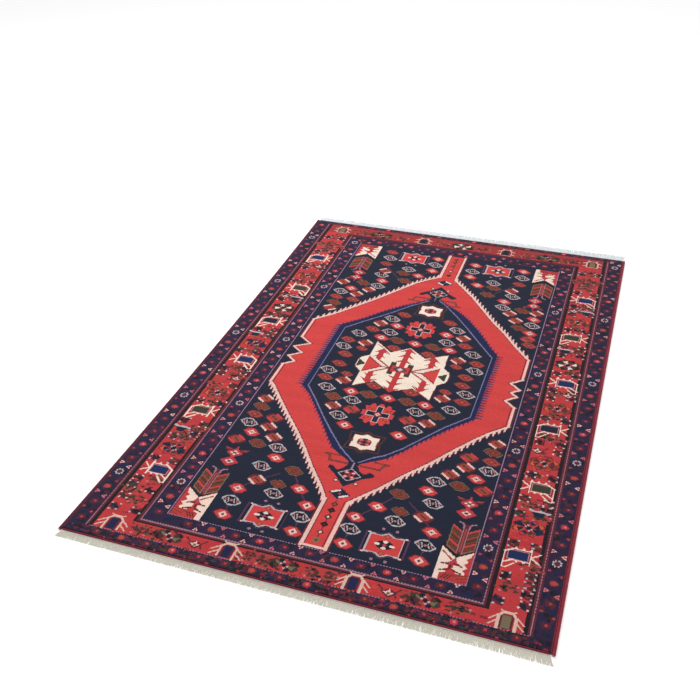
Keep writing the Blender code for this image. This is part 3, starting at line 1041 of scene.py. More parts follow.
def woven_cartoon():
    cartoon = Cartoon(np.full((ROWS, COLUMNS), WOOL_NAMES.index("navy"), np.uint8))
    borders(cartoon)
    field(cartoon)
    side_border(cartoon, -195, 0, LEFT_BUSHES, LEFT_LEAVES, LEFT_BEETLES, LEFT_ROSETTES, LEFT_BOATS,
                LEFT_BIRDS)
    side_border(cartoon, 197.5, 20, RIGHT_BUSHES, RIGHT_LEAVES, RIGHT_BEETLES, RIGHT_ROSETTES, RIGHT_BOATS,
                RIGHT_BIRDS)
    end_borders(cartoon)
    guards(cartoon)
    return cartoon.knots


KNOTS = woven_cartoon()

# ---------------------------------------------------------------------------------------------------
# Sizes, in metres, as the frame has them.
# ---------------------------------------------------------------------------------------------------

RUG_WIDTH = 1.300
PILE_HALF_WIDTH = 0.6401
PILE_NEAR = -1.0015
PILE_FAR = 0.9785
PILE_LENGTH = PILE_FAR - PILE_NEAR
BODY_MIDDLE = (PILE_NEAR + PILE_FAR) / 2
KNOT_ACROSS = 2 * PILE_HALF_WIDTH / COLUMNS
KNOT_ALONG = PILE_LENGTH / ROWS

GROUND_TOP = 0.0030
PILE_FOOT = 0.0033
PILE_TOP = 0.0110
GAP = 0.0003
END_CORD_RADIUS = 0.0030
END_CORD_HEIGHT = 0.0055
NEAR_WEB = 0.0050
FAR_WEB = 0.0080
WEB_TOP = 0.0022
NEAR_FRINGE = 0.0200
FAR_FRINGE = 0.0400
SELVEDGE_OUT = 0.6449
SELVEDGE_HEIGHT = 0.0048
SELVEDGE_RADIUS = 0.0048

LEFT_BOW = 0.0098
LEFT_FLARE = 0.0185
LEFT_BOW_CENTRE = 0.25
RIGHT_SWELL = 0.0062
RIGHT_FLARE = 0.0025
FAR_SKEW = 0.0140
FAR_SKEW_POWER = 8


def as_woven(x, y):
    """Moves points of the straight plan to where the hand-made rug has them."""
    across = x / (RUG_WIDTH / 2)
    along = (y - BODY_MIDDLE) / (PILE_LENGTH / 2)
    left = LEFT_BOW - LEFT_FLARE * ((along - LEFT_BOW_CENTRE) / (1 + LEFT_BOW_CENTRE)) ** 2
    right = RIGHT_SWELL - RIGHT_FLARE * along
    moved_x = left * (1 - across) / 2 + right * (1 + across) / 2
    towards_far_end = np.clip(along, 0, 1)
    moved_y = -FAR_SKEW * (1 - across) / 2 * towards_far_end**FAR_SKEW_POWER
    return x + moved_x, y + moved_y


def hand_noise(rows, columns, seed):
    """The same number from -1 to 1 for the same row and column, wherever it is asked for."""
    mixed = (rows.astype(np.int64) * 73856093) ^ (columns.astype(np.int64) * 19349663) ^ (seed * 83492791)
    mixed = (mixed ^ (mixed >> 13)) * 1274126177 & 0x7FFFFFFF
    mixed = (mixed ^ (mixed >> 15)) * 668265263 & 0x7FFFFFFF
    return (mixed & 0xFFFFF) / 0x80000 - 1.0


def slow_wave(x, y):
    """How far a rug that has been walked on stands off a flat floor, from 0 to 1."""
    swell = np.sin(3.1 * x + 1.7 * y + 0.6) + np.sin(-2.3 * x + 4.4 * y + 2.1) + np.sin(7.9 * y + 1.3 * x)
    return swell / 6 + 0.5


# ---------------------------------------------------------------------------------------------------
# Modelling
# ---------------------------------------------------------------------------------------------------


def deselect_all():
    if bpy.context.mode != "OBJECT":
        bpy.ops.object.mode_set(mode="OBJECT")
    bpy.ops.object.select_all(action="DESELECT")


def flat_blanket(name, columns, rows, thickness):
    """A closed flat block whose top is a grid of columns by rows faces, its corners at 0 and 1."""
    deselect_all()
    bpy.ops.mesh.primitive_grid_add(x_subdivisions=columns, y_subdivisions=rows, size=1,
                                    location=(0.5, 0.5, 0))
    blanket = bpy.context.object
    blanket.name = name
    bpy.ops.object.transform_apply(location=True, rotation=True, scale=True)
    bpy.ops.object.mode_set(mode="EDIT")
    bpy.ops.mesh.select_mode(type="EDGE")
    bpy.ops.mesh.select_all(action="DESELECT")
    bpy.ops.mesh.select_non_manifold()
    bpy.ops.mesh.extrude_edges_move(TRANSFORM_OT_translate={"value": (0, 0, -thickness)})
    bpy.ops.mesh.edge_face_add()
    bpy.ops.object.mode_set(mode="OBJECT")
    return blanket


def vertex_places(piece):
    places = np.empty(len(piece.data.vertices) * 3)
    piece.data.vertices.foreach_get("co", places)
    return places.reshape(-1, 3)


def put_vertices(piece, places):
    piece.data.vertices.foreach_set("co", places.ravel())
    piece.data.update()


def colour_faces(piece, face_wools):
    """Gives each face's corners one wool."""
    mesh = piece.data
    attribute = mesh.attributes.new("wool", "FLOAT_COLOR", "CORNER")
    totals = np.empty(len(mesh.polygons), np.int32)
    mesh.polygons.foreach_get("loop_total", totals)
    colours = np.ones((len(mesh.loops), 4), np.float32)
    colours[:, :3] = np.repeat(face_wools, totals, axis=0)
    attribute.data.foreach_set("color", colours.ravel())


def corner_vertices(mesh):
    """The vertex at each corner of each face."""
    corners = np.empty(len(mesh.loops), np.int32)
    mesh.loops.foreach_get("vertex_index", corners)
    return corners


def plan_uv(piece):
    """A flat UV map seen from above, the piece's own width and length filling it."""
    places = vertex_places(piece)[:, :2]
    low, high = places.min(axis=0), places.max(axis=0)
    corners = corner_vertices(piece.data)
    layer = piece.data.uv_layers.new(name="OFBake")
    layer.data.foreach_set("uv", ((places - low) / (high - low))[corners].ravel())


def edit_faces(piece, operation):
    """Runs an edit operation on all faces of one piece."""
    deselect_all()
    piece.select_set(True)
    bpy.context.view_layer.objects.active = piece
    bpy.ops.object.mode_set(mode="EDIT")
    bpy.ops.mesh.select_all(action="SELECT")
    operation()
    bpy.ops.object.mode_set(mode="OBJECT")


def linear_wools():
    return np.array([WOOLS[name] for name in WOOL_NAMES])


# How far a tuft leans or slips, as a share of a knot.
TUFT_LEAN = 0.17
TUFT_UNEVEN = 0.00022
PILE_CLIPPED = 0.0002
PILE_WORN = 0.0007
# The pile rounds down towards the rug's edges, within a few knots.
RIM_DROP = 0.0016
RIM_KNOTS = 1.6
# How much lighter or darker one knot of a wool is than the next.
KNOT_SHADE = 0.085


def knotted_pile(name, node, columns, rows):
    """A cut pile over a window of the cartoon: one face for each knot, in the wool it was tied in."""
    first_column, last_column = columns
    first_row, last_row = rows
    across, along = last_column - first_column, last_row - first_row
    pile = flat_blanket(name, across, along, 1)
    plan = vertex_places(pile)
    column = plan[:, 0] * across + first_column
    row = plan[:, 1] * along + first_row
    whole_column, whole_row = np.rint(column).astype(int), np.rint(row).astype(int)
    top = plan[:, 2] > -0.5
    lean = TUFT_LEAN * hand_noise(whole_row, whole_column, 1)
    slip = TUFT_LEAN * hand_noise(whole_row, whole_column, 2)
    at_side = (whole_column == first_column) | (whole_column == last_column)
    at_end = (whole_row == first_row) | (whole_row == last_row)
    lean[at_side & ~np.isin(whole_column, SHARED_COLUMNS)] = 0
    slip[at_end & ~np.isin(whole_row, SHARED_ROWS)] = 0
    x = -PILE_HALF_WIDTH + (column + lean) * KNOT_ACROSS
    y = PILE_NEAR + (row + slip) * KNOT_ALONG
    x, y = as_woven(x, y)
    tuft = TUFT_UNEVEN * hand_noise(whole_row, whole_column, 3)
    worn = PILE_WORN * slow_wave(x, y)
    rim = np.minimum(np.minimum(whole_column, COLUMNS - whole_column),
                     np.minimum(whole_row, ROWS - whole_row))
    rounded = RIM_DROP * np.exp(-rim / RIM_KNOTS)
    z = np.where(top, PILE_TOP - PILE_CLIPPED + tuft - worn - rounded, PILE_FOOT)
    put_vertices(pile, np.stack([x, y, z], axis=1))
    window = KNOTS[first_row:last_row, first_column:last_column]
    paint_knots(pile, plan, window, first_column, first_row)
    plan_uv(pile)
    pile.data.materials.append(PILE_WOOL)
    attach(pile, "rug")
    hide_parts(node)
    return pile


def paint_knots(piece, plan, window, first_column, first_row):
    """Colours the faces from the cartoon: a top face by its own knot, and a side by the knot beside it."""
    mesh = piece.data
    along, across = window.shape
    starts = np.empty(len(mesh.polygons), np.int32)
    totals = np.empty(len(mesh.polygons), np.int32)
    mesh.polygons.foreach_get("loop_start", starts)
    mesh.polygons.foreach_get("loop_total", totals)
    middles = np.add.reduceat(plan[corner_vertices(mesh), :2], starts, axis=0) / totals[:, None]
    columns = np.clip((middles[:, 0] * across).astype(int), 0, across - 1)
    rows = np.clip((middles[:, 1] * along).astype(int), 0, along - 1)
    wools = linear_wools()[window[rows, columns]]
    lots = 1 + KNOT_SHADE * hand_noise(rows + first_row, columns + first_column, 4)[:, None]
    colour_faces(piece, wools * lots)


OUTER_COLUMNS = (0, 20, 461, 481)
MAIN_COLUMNS = (20, 68, 413, 461)
INNER_COLUMNS = (68, 88, 393, 413)
OUTER_ROWS = (0, 11, 734, 744)
MAIN_ROWS = (11, 35, 700, 734)
INNER_ROWS = (35, 51, 683, 700)
FIELD_COLUMNS = (88, 393)
FIELD_ROWS = (51, 262, 473, 683)
SHARED_COLUMNS = (20, 68, 88, 393, 413, 461)
SHARED_ROWS = (11, 35, 51, 262, 473, 683, 700, 734)


def border_piles(word, columns, rows):
    left, inner_left, inner_right, right = columns
    near, inner_near, inner_far, far = rows
    for place, span_columns, span_rows in (
        ("near", (left, right), (near, inner_near)),
        ("far", (left, right), (inner_far, far)),
        ("left", (left, inner_left), (inner_near, inner_far)),
        ("right", (inner_right, right), (inner_near, inner_far)),
    ):
        knotted_pile(f"{word}_tufts_{place}", f"{word}_pile_{place}", span_columns, span_rows)


def all_piles():
    border_piles("outer_guard", OUTER_COLUMNS, OUTER_ROWS)
    border_piles("main_border", MAIN_COLUMNS, MAIN_ROWS)
    border_piles("inner_guard", INNER_COLUMNS, INNER_ROWS)
    for number, rows in enumerate(zip(FIELD_ROWS, FIELD_ROWS[1:])):
        knotted_pile(f"field_tufts_{number + 1}", "field_pile", FIELD_COLUMNS, rows)


BACK_STEP = 2
BACK_LEAN = 0.12
BACK_OVERHANG = 0.0012
BACK_CLEARANCE = 0.0001
BACK_RIDGE = 0.00018
BACK_WAVE = 0.0004


def knotted_back():
    """The ground weave with the backs of the knots on its underside, two knots to a face."""
    across, along = COLUMNS // BACK_STEP, ROWS // BACK_STEP
    back = flat_blanket("knotted_back", across, along, 1)
    plan = vertex_places(back)
    row = np.rint(plan[:, 1] * along).astype(int)
    column = np.rint(plan[:, 0] * across).astype(int)
    side = np.where((column > 0) & (column < across), BACK_LEAN * hand_noise(row, column, 5), 0)
    x = (plan[:, 0] - 0.5) * 2 * (PILE_HALF_WIDTH + BACK_OVERHANG) + side * KNOT_ACROSS
    y = PILE_NEAR - BACK_OVERHANG + plan[:, 1] * (PILE_LENGTH + 2 * BACK_OVERHANG)
    x, y = as_woven(x, y)
    ridge = BACK_RIDGE * (1 + hand_noise(row, column, 6)) + BACK_WAVE * slow_wave(x, y)
    z = np.where(plan[:, 2] > -0.5, BACK_CLEARANCE + ridge, GROUND_TOP)
    put_vertices(back, np.stack([x, y, z], axis=1))
    window = KNOTS[: along * BACK_STEP : BACK_STEP, : across * BACK_STEP : BACK_STEP]
    paint_knots(back, plan, window, 0, 0)
    edit_faces(back, bpy.ops.mesh.flip_normals)
    plan_uv(back)
    back.data.materials.append(BACK_WOOL)
    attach(back, "rug")
    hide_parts("foundation")
    return back


# ---------------------------------------------------------------------------------------------------
# Edges: the bound sides, the twined end cords, the flat-woven webs and the fringes.
# ---------------------------------------------------------------------------------------------------

OVERCAST_PITCH = 0.0026
OVERCAST_RINGS_PER_TURN = 4
OVERCAST_SIDES = 12
OVERCAST_OVERRUN = 0.006
TURN_ROUNDNESS = 0.7
TURN_GROOVE = 0.0006
TURN_UNEVEN = 0.00022
# The overcasting narrows over its last rings, to this share of its radius and by this much a ring.
TIP_SHARE = 0.80
TIP_STEP = 0.1
TIP_RINGS = 2


def overcast_edge(side, word, material):
    """Wool whipped round and round the side cords, laid in a slow spiral of rounded turns."""
    start, end = PILE_NEAR - OVERCAST_OVERRUN, PILE_FAR + OVERCAST_OVERRUN
    rings = round((end - start) / OVERCAST_PITCH * OVERCAST_RINGS_PER_TURN)
    deselect_all()
    bpy.ops.mesh.primitive_grid_add(x_subdivisions=OVERCAST_SIDES, y_subdivisions=rings, size=1,
                                    location=(0.5, 0.5, 0))
    edge = bpy.context.object
    edge.name = f"overcast_edge_{word}"
    bpy.ops.object.transform_apply(location=True, rotation=True, scale=True)
    plan = vertex_places(edge)
    angle = 2 * math.pi * plan[:, 0]
    ring = plan[:, 1] * rings
    turn = ring / OVERCAST_RINGS_PER_TURN
    phase = turn - plan[:, 0]
    whole = np.floor(phase + 1e-6).astype(int)
    bulge = np.abs(np.sin(math.pi * phase)) ** TURN_ROUNDNESS
    uneven = TURN_UNEVEN * hand_noise(whole, whole * 0 + (7 if side < 0 else 8), 9)
    radius = SELVEDGE_RADIUS - TURN_GROOVE * (1 - bulge) + uneven * bulge
    ends = np.minimum(ring, rings - ring)
    radius = np.where(ends < TIP_RINGS, radius * (TIP_SHARE + TIP_STEP * ends), radius)
    y_plan = start + plan[:, 1] * (end - start)
    x, y = as_woven(np.full_like(y_plan, side * SELVEDGE_OUT), y_plan)
    x = x + radius * np.cos(angle)
    z = SELVEDGE_HEIGHT + radius * np.sin(angle)
    put_vertices(edge, np.stack([x, y, z], axis=1))
    along_uv(edge, plan)
    bpy.ops.object.mode_set(mode="EDIT")
    bpy.ops.mesh.select_all(action="SELECT")
    bpy.ops.mesh.remove_doubles(threshold=0.00001)
    bpy.ops.mesh.select_all(action="DESELECT")
    bpy.ops.mesh.select_non_manifold()
    bpy.ops.mesh.edge_face_add()
    bpy.ops.mesh.select_all(action="SELECT")
    bpy.ops.mesh.normals_make_consistent(inside=False)
    bpy.ops.object.mode_set(mode="OBJECT")
    bpy.ops.object.shade_smooth()
    edge.data.materials.append(material)
    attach(edge, "rug")
    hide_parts(f"selvedge_wrap_{word}")
    return edge


def along_uv(piece, plan):
    """A UV map whose u runs round the piece and v along it."""
    corners = corner_vertices(piece.data)
    layer = piece.data.uv_layers.new(name="Along")
    layer.data.foreach_set("uv", plan[corners, :2].ravel())


CORD_HALF_LENGTH = 0.636
CORD_PLIES = 2
PLY_RADIUS = END_CORD_RADIUS * 0.53
PLY_OFFSET = END_CORD_RADIUS * 0.47
CORD_LAY = 0.0085
CORD_POINTS_PER_TURN = 8


def yarn_curve(name, routes, radius, sides_setting, taper=None):
    """One object of round yarns, each along its own list of points."""
    deselect_all()
    bpy.ops.curve.primitive_nurbs_path_add()
    yarn = bpy.context.object
    yarn.name = name
    curve = yarn.data
    curve.splines.clear()
    curve.dimensions = "3D"
    curve.bevel_depth = radius
    curve.bevel_resolution = sides_setting
    curve.use_fill_caps = True
    for route in routes:
        spline = curve.splines.new("POLY")
        spline.points.add(len(route) - 1)
        spline.points.foreach_set("co", np.column_stack([route, np.ones(len(route))]).ravel())
        if taper is not None:
            spline.points.foreach_set("radius", taper)
    yarn.select_set(True)
    bpy.context.view_layer.objects.active = yarn
    bpy.ops.object.convert(target="MESH")
    bpy.ops.object.shade_smooth()
    return yarn


def twined_end_cord(word, edge_y, out, material):
    """Two plies twisted round each other along an end of the pile."""
    start, end = -CORD_HALF_LENGTH, CORD_HALF_LENGTH
    steps = round((end - start) / CORD_LAY * CORD_POINTS_PER_TURN)
    share = np.linspace(0, 1, steps + 1)
    x_plan = start + (end - start) * share
    y_plan = np.full_like(x_plan, edge_y + out * (GAP + END_CORD_RADIUS))
    routes = []
    for ply in range(CORD_PLIES):
        angle = 2 * math.pi * (share * steps / CORD_POINTS_PER_TURN + ply / CORD_PLIES)
        x, y = as_woven(x_plan, y_plan)
        z = END_CORD_HEIGHT + PLY_OFFSET * np.sin(angle)
        routes.append(np.stack([x, y + PLY_OFFSET * np.cos(angle), z], axis=1))
    cord = yarn_curve(f"twined_cord_{word}", routes, PLY_RADIUS, 2)
    cord.data.materials.append(material)
    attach(cord, "rug")
    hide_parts(f"end_cord_{word}")
    return cord


WEB_COLUMNS = 480
WEB_HALF_WIDTH = 0.6385
# How high the weft stands over a warp, under one, and between two rows, as shares of the relief.
OVER_WARP = 1.0
UNDER_WARP = -0.2
BETWEEN_ROWS = 0.1
WEB_RELIEF = 0.0004
WEB_SINK = 0.0006
WEB_DRAWN_IN = 0.0004
WEB_TUCK = 0.0004
WEB_TRIM = 0.0006
WEB_CLEARANCE = 0.0002


def flat_web(word, edge_y, out, width, picks):
    """A narrow band of plain weave in undyed cotton: the weft goes over and under each warp."""
    web = flat_blanket(f"woven_web_{word}", WEB_COLUMNS, picks * 2, 1)
    plan = vertex_places(web)
    column = np.rint(plan[:, 0] * WEB_COLUMNS).astype(int)
    row = np.rint(plan[:, 1] * picks * 2).astype(int)
    weft = np.where((column + row // 2) % 2 == 0, OVER_WARP, UNDER_WARP)
    over = np.where(row % 2 == 1, weft, BETWEEN_ROWS)
    drawn_in = WEB_DRAWN_IN * hand_noise(column // 6, column * 0, 11)
    start = edge_y + out * (2 * END_CORD_RADIUS + GAP - WEB_TUCK)
    y_plan = start + out * plan[:, 1] * (width - WEB_TRIM) + out * plan[:, 1] * drawn_in
    x_plan = (plan[:, 0] - 0.5) * 2 * WEB_HALF_WIDTH
    x, y = as_woven(x_plan, y_plan)
    top = WEB_TOP - WEB_SINK + WEB_RELIEF * over
    z = np.where(plan[:, 2] > -0.5, top, WEB_CLEARANCE)
    put_vertices(web, np.stack([x, y, z], axis=1))
    edit_faces(web, bpy.ops.mesh.normals_make_consistent)
    bpy.ops.object.shade_smooth()
    web.data.materials.append(WEB_COTTON)
    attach(web, "rug")
    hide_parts(f"web_{word}")
    return web


FRINGE_HALF_WIDTH = 0.6380
FRINGE_FLARE = 0.009
STRAND_RADIUS = 0.00080
STRAND_POINTS = 7
STRAND_TAPER = (0.9, 1.0, 1.0, 0.95, 0.9, 0.85, 0.6)
# A strand comes off the web's top and drops to the floor.
STRAND_RISE = 0.0018 * np.array([1, 0.85, 0.3, 0, 0, 0, 0])
STRAND_REACH = (0.88, 1.0)
STRAND_DRIFT = 0.002
DRIFT_POWER = 1.6
STRAND_CURL = 0.0008
STRAND_WAVE = 0.0002
STRAND_LIFT = (0.0009, 0.0014)
# The fringe's right end is longer than its middle by this share, and its left end shorter.
FRINGE_GAIN = 0.12


def fringe(word, edge_y, out, web, length, strands, seed):
    """Loose ends of the warps, each lying its own way, the lower ones pressed flat by the upper ones."""
    chance = np.random.default_rng(seed)
    root = edge_y + out * (2 * END_CORD_RADIUS + 2 * GAP + web)
    share = np.linspace(0, 1, STRAND_POINTS)
    routes = []
    for strand in range(strands):
        x0 = FRINGE_HALF_WIDTH * (2 * (strand + chance.uniform(0.1, 0.9)) / strands - 1)
        reach = length * chance.uniform(*STRAND_REACH) * (1 + FRINGE_GAIN * x0 / FRINGE_HALF_WIDTH)
        drift = chance.normal(0, STRAND_DRIFT)
        curl = chance.uniform(-STRAND_CURL, STRAND_CURL)
        x_plan = x0 + drift * share**DRIFT_POWER + curl * np.sin(2 * math.pi * share + chance.uniform(0, 6.3))
        x_plan = x_plan + FRINGE_FLARE * (x0 / FRINGE_HALF_WIDTH) ** 9 * share
        y_plan = root + out * (reach * share - web * (1 - share))
        x, y = as_woven(x_plan, y_plan)
        lift = chance.uniform(*STRAND_LIFT)
        z = lift + STRAND_WAVE * np.sin(5 * share + chance.uniform(0, 6.3)) + STRAND_RISE
        routes.append(np.stack([x, y, z], axis=1))
    tassels = yarn_curve(f"warp_fringe_{word}", routes, STRAND_RADIUS, 1, STRAND_TAPER)
    tassels.data.materials.append(FRINGE_COTTON_NEAR if word == "near" else FRINGE_COTTON_FAR)
    deselect_all()
    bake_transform(tassels)
    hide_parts(f"fringe_{word}")
    return tassels


# ---------------------------------------------------------------------------------------------------
# Finishes
# ---------------------------------------------------------------------------------------------------


def add(tree, kind, **settings):
    node = tree.nodes.new(kind)
    for key, value in settings.items():
        setattr(node, key, value)
    return node


def new_group(name, inputs, outputs):
    group = bpy.data.node_groups.new(name, "ShaderNodeTree")
    for label, kind, value in inputs:
        socket = group.interface.new_socket(label, in_out="INPUT", socket_type=kind)
        if value is not None:
            socket.default_value = value
    for label, kind in outputs:
        group.interface.new_socket(label, in_out="OUTPUT", socket_type=kind)
    return group, group.nodes.new("NodeGroupInput"), group.nodes.new("NodeGroupOutput")


def wire(tree, *pairs):
    for output, socket in pairs:
        tree.links.new(output, socket)


def signed_share(group, noise, amount):
    """1 + amount * (2 * noise - 1), for noise round a half."""
    centred = add(group, "ShaderNodeMath", operation="MULTIPLY_ADD")
    centred.inputs[1].default_value = 2
    centred.inputs[2].default_value = -1
    weighed = add(group, "ShaderNodeMath", operation="MULTIPLY_ADD")
    weighed.inputs[2].default_value = 1
    wire(group, (noise, centred.inputs[0]), (centred.outputs[0], weighed.inputs[0]),
         (amount, weighed.inputs[1]))
    return weighed.outputs[0]


FINE_DETAIL = 3
FINE_ROUGHNESS = 0.7
BROAD_SCALE = 9
BROAD_DETAIL = 3
# A shift of the dye runs further across the rug than along it.
DYE_STRETCH = (0.35, 3.2, 1)
SMOOTHEST = 0.78
ROUGHEST = 0.98


def fibre_group():
    """Loose fibres: a fine speckle of light and dark that is darker where the same noise makes the fibres
    lower, so partly the fibres' own tone and partly painted shade in the hollows between them; a broad shift
    of the dye, a height and a roughness.
    """
    group, given, made = new_group(
        "wool_fibre",
        [("Colour", "NodeSocketColor", (0.5, 0.5, 0.5, 1)), ("Fibre size", "NodeSocketFloat", 900.0),
         ("Fleck and hollow shade", "NodeSocketFloat", 0.18), ("Dye shift", "NodeSocketFloat", 0.10)],
        [("Colour", "NodeSocketColor"), ("Height", "NodeSocketFloat"), ("Roughness", "NodeSocketFloat")],
    )
    place = add(group, "ShaderNodeTexCoord")
    fine = add(group, "ShaderNodeTexNoise")
    fine.inputs["Detail"].default_value = FINE_DETAIL
    fine.inputs["Roughness"].default_value = FINE_ROUGHNESS
    stretch = add(group, "ShaderNodeMapping")
    stretch.inputs["Scale"].default_value = DYE_STRETCH
    broad = add(group, "ShaderNodeTexNoise")
    broad.inputs["Scale"].default_value = BROAD_SCALE
    broad.inputs["Detail"].default_value = BROAD_DETAIL
    wire(group, (place.outputs["Object"], fine.inputs["Vector"]),
         (given.outputs["Fibre size"], fine.inputs["Scale"]),
         (place.outputs["Object"], stretch.inputs["Vector"]),
         (stretch.outputs["Vector"], broad.inputs["Vector"]))
    # The speckle darkens where the fibre height is low: partly the fibres' own tone, partly painted shade in
    # the hollows between fibres.
    fleck_and_hollow_shade = signed_share(group, fine.outputs["Fac"], given.outputs["Fleck and hollow shade"])
    shift = signed_share(group, broad.outputs["Fac"], given.outputs["Dye shift"])
    both = add(group, "ShaderNodeMath", operation="MULTIPLY")
    scaled = add(group, "ShaderNodeVectorMath", operation="SCALE")
    rough = add(group, "ShaderNodeMapRange")
    rough.inputs["To Min"].default_value = SMOOTHEST
    rough.inputs["To Max"].default_value = ROUGHEST
    wire(group, (fleck_and_hollow_shade, both.inputs[0]), (shift, both.inputs[1]),
         (given.outputs["Colour"], scaled.inputs[0]), (both.outputs[0], scaled.inputs["Scale"]),
         (fine.outputs["Fac"], rough.inputs["Value"]), (scaled.outputs[0], made.inputs["Colour"]),
         (fine.outputs["Fac"], made.inputs["Height"]),
         (rough.outputs["Result"], made.inputs["Roughness"]))
    return group


FIBRE = fibre_group()
SHEEN_ROUGHNESS = 0.45
WOOL_SPECULAR = 0.12


def wool_material(name, colour=None, fibre_size=900.0, fleck_and_hollow_shade=0.18, dye_shift=0.10, sheen=0.25,
                  bump=0.4, bump_height=0.0006):
    """A woolly or cottony finish. With no colour, the piece's own knot colours are used."""
    material = bpy.data.materials.new(name)
    material.use_nodes = True
    tree = material.node_tree
    shader = tree.nodes["Principled BSDF"]
    shader.inputs["Sheen Weight"].default_value = sheen
    shader.inputs["Sheen Roughness"].default_value = SHEEN_ROUGHNESS
    shader.inputs["Specular IOR Level"].default_value = WOOL_SPECULAR
    fibre = add(tree, "ShaderNodeGroup", node_tree=FIBRE)
    fibre.inputs["Fibre size"].default_value = fibre_size
    # How strongly the speckle darkens the low fibres: partly painted shade in the hollows between them.
    fibre.inputs["Fleck and hollow shade"].default_value = fleck_and_hollow_shade
    fibre.inputs["Dye shift"].default_value = dye_shift
    if colour is None:
        knots = add(tree, "ShaderNodeAttribute", attribute_name="wool")
        tree.links.new(knots.outputs["Color"], fibre.inputs["Colour"])
    else:
        fibre.inputs["Colour"].default_value = (*colour, 1)
    raised = add(tree, "ShaderNodeBump")
    raised.inputs["Strength"].default_value = bump
    raised.inputs["Distance"].default_value = bump_height
    wire(tree, (fibre.outputs["Height"], raised.inputs["Height"]),
         (fibre.outputs["Colour"], shader.inputs["Base Color"]),
         (fibre.outputs["Roughness"], shader.inputs["Roughness"]),
         (raised.outputs["Normal"], shader.inputs["Normal"]))
    return material


PILE_WOOL = wool_material("pile_wool", fibre_size=1100.0, fleck_and_hollow_shade=0.35, dye_shift=0.16, sheen=0.06,
                          bump=0.6, bump_height=0.0012)
BACK_WOOL = wool_material("back_wool", fibre_size=800.0, fleck_and_hollow_shade=0.25, sheen=0.1, bump=0.6,
                          bump_height=0.0008)


def edge_yarn(name, colour):
    return wool_material(name, colour, fleck_and_hollow_shade=0.25, dye_shift=0.25)


def cotton(name, colour, fleck_and_hollow_shade=0.12, dye_shift=0.08):
    return wool_material(name, colour, fibre_size=700.0, fleck_and_hollow_shade=fleck_and_hollow_shade, dye_shift=dye_shift)


LEFT_EDGE_WOOL = edge_yarn("left_edge_wool", dye(106, 42, 60))
RIGHT_EDGE_WOOL = edge_yarn("right_edge_wool", dye(150, 48, 62))
NEAR_CORD_WOOL = edge_yarn("near_cord_wool", dye(136, 42, 54))
FAR_CORD_WOOL = edge_yarn("far_cord_wool", dye(52, 44, 60))
WEB_COTTON = cotton("web_cotton", dye(198, 191, 176))
FRINGE_COTTON_NEAR = cotton("near_fringe_cotton", dye(226, 222, 208), fleck_and_hollow_shade=0.14, dye_shift=0.10)
FRINGE_COTTON_FAR = cotton("far_fringe_cotton", dye(234, 238, 241), fleck_and_hollow_shade=0.10)
CORE_COTTON = cotton("core_cotton", dye(190, 176, 158))


# ---------------------------------------------------------------------------------------------------
# Putting the rug together
# ---------------------------------------------------------------------------------------------------

back = knotted_back()
all_piles()
overcast_edge(-1, "left", LEFT_EDGE_WOOL)
overcast_edge(1, "right", RIGHT_EDGE_WOOL)
twined_end_cord("near", PILE_NEAR, -1, NEAR_CORD_WOOL)
twined_end_cord("far", PILE_FAR, 1, FAR_CORD_WOOL)
flat_web("near", PILE_NEAR, -1, NEAR_WEB, 3)
flat_web("far", PILE_FAR, 1, FAR_WEB, 5)
fringe("near", PILE_NEAR, -1, NEAR_WEB, NEAR_FRINGE, strands=1500, seed=21)
fringe("far", PILE_FAR, 1, FAR_WEB, FAR_FRINGE, strands=1400, seed=22)

for word in ("left", "right"):
    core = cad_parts[f"selvedge_core_{word}"]
    if not core.material_slots:
        core.data.materials.append(CORE_COTTON)
    for slot in core.material_slots:
        slot.material = CORE_COTTON

# ---------------------------------------------------------------------------------------------------
# Floor, light and camera
# ---------------------------------------------------------------------------------------------------


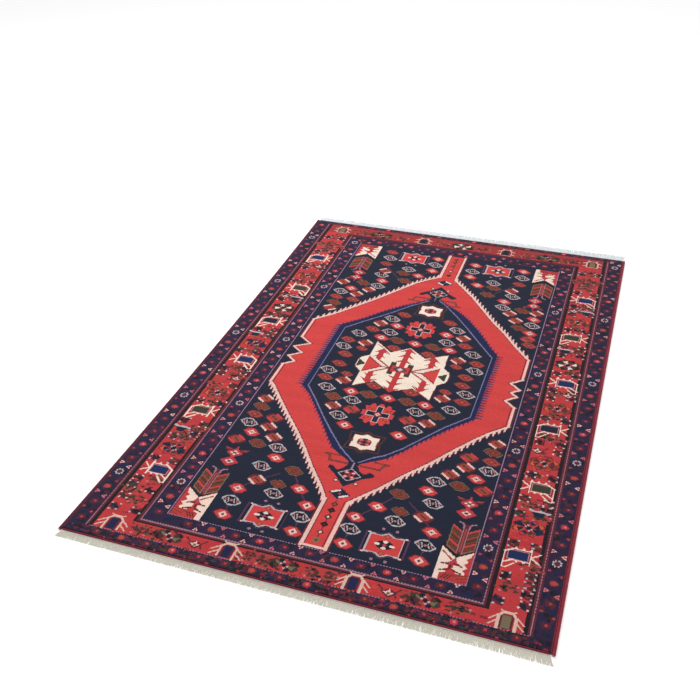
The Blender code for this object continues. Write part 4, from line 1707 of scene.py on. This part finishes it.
FLOOR_SIZE = 30
FLOOR_HEIGHT = -0.0002
FLOOR_GREY = 0.93
FLOOR_ROUGHNESS = 0.9
FLOOR_GLOW = 0.40
AIR_LIGHT = 0.58
LAMP_SIZE = 3
LAMP_WATTS = 70
LAMP_PLACE = (-1.6, 1.2, 3.0)
LAMP_TURN = (-20, -26, 0)
WHITE = (1, 1, 1, 1)

SENSOR_WIDTH = 36
LENS_LENGTH = 47.471
EYE_PLACE = (0.65864616, -2.44886384, 1.76011661)
EYE_TURN = (56.33745734, 0.41835277, 18.49913627)


def in_radians(degrees):
    return [math.radians(angle) for angle in degrees]


def studio():
    """A pale floor that nearly melts into white air, with one soft lamp at the left."""
    deselect_all()
    bpy.ops.mesh.primitive_plane_add(size=FLOOR_SIZE, location=(0, 0, FLOOR_HEIGHT))
    floor = bpy.context.object
    floor.name = "studio_floor"
    paper = bpy.data.materials.new("floor_paper")
    paper.use_nodes = True
    shader = paper.node_tree.nodes["Principled BSDF"]
    shader.inputs["Base Color"].default_value = (FLOOR_GREY, FLOOR_GREY, FLOOR_GREY, 1)
    shader.inputs["Roughness"].default_value = FLOOR_ROUGHNESS
    shader.inputs["Emission Color"].default_value = WHITE
    shader.inputs["Emission Strength"].default_value = FLOOR_GLOW
    floor.data.materials.append(paper)
    world = bpy.data.worlds.new("studio_air")
    world.use_nodes = True
    air = world.node_tree.nodes["Background"]
    air.inputs["Color"].default_value = WHITE
    air.inputs["Strength"].default_value = AIR_LIGHT
    bpy.context.scene.world = world
    lamp_data = bpy.data.lights.new("window_light", "AREA")
    lamp_data.shape = "RECTANGLE"
    lamp_data.size = LAMP_SIZE
    lamp_data.size_y = LAMP_SIZE
    lamp_data.energy = LAMP_WATTS
    lamp = bpy.data.objects.new("window_light", lamp_data)
    lamp.location = LAMP_PLACE
    lamp.rotation_euler = in_radians(LAMP_TURN)
    bpy.context.scene.collection.objects.link(lamp)
    bpy.context.scene.view_settings.view_transform = "Standard"


def eye():
    lens = bpy.data.cameras.new("eye")
    lens.lens = LENS_LENGTH
    lens.sensor_width = SENSOR_WIDTH
    camera = bpy.data.objects.new("eye", lens)
    camera.location = EYE_PLACE
    camera.rotation_euler = in_radians(EYE_TURN)
    bpy.context.scene.collection.objects.link(camera)
    bpy.context.scene.camera = camera


studio()
eye()
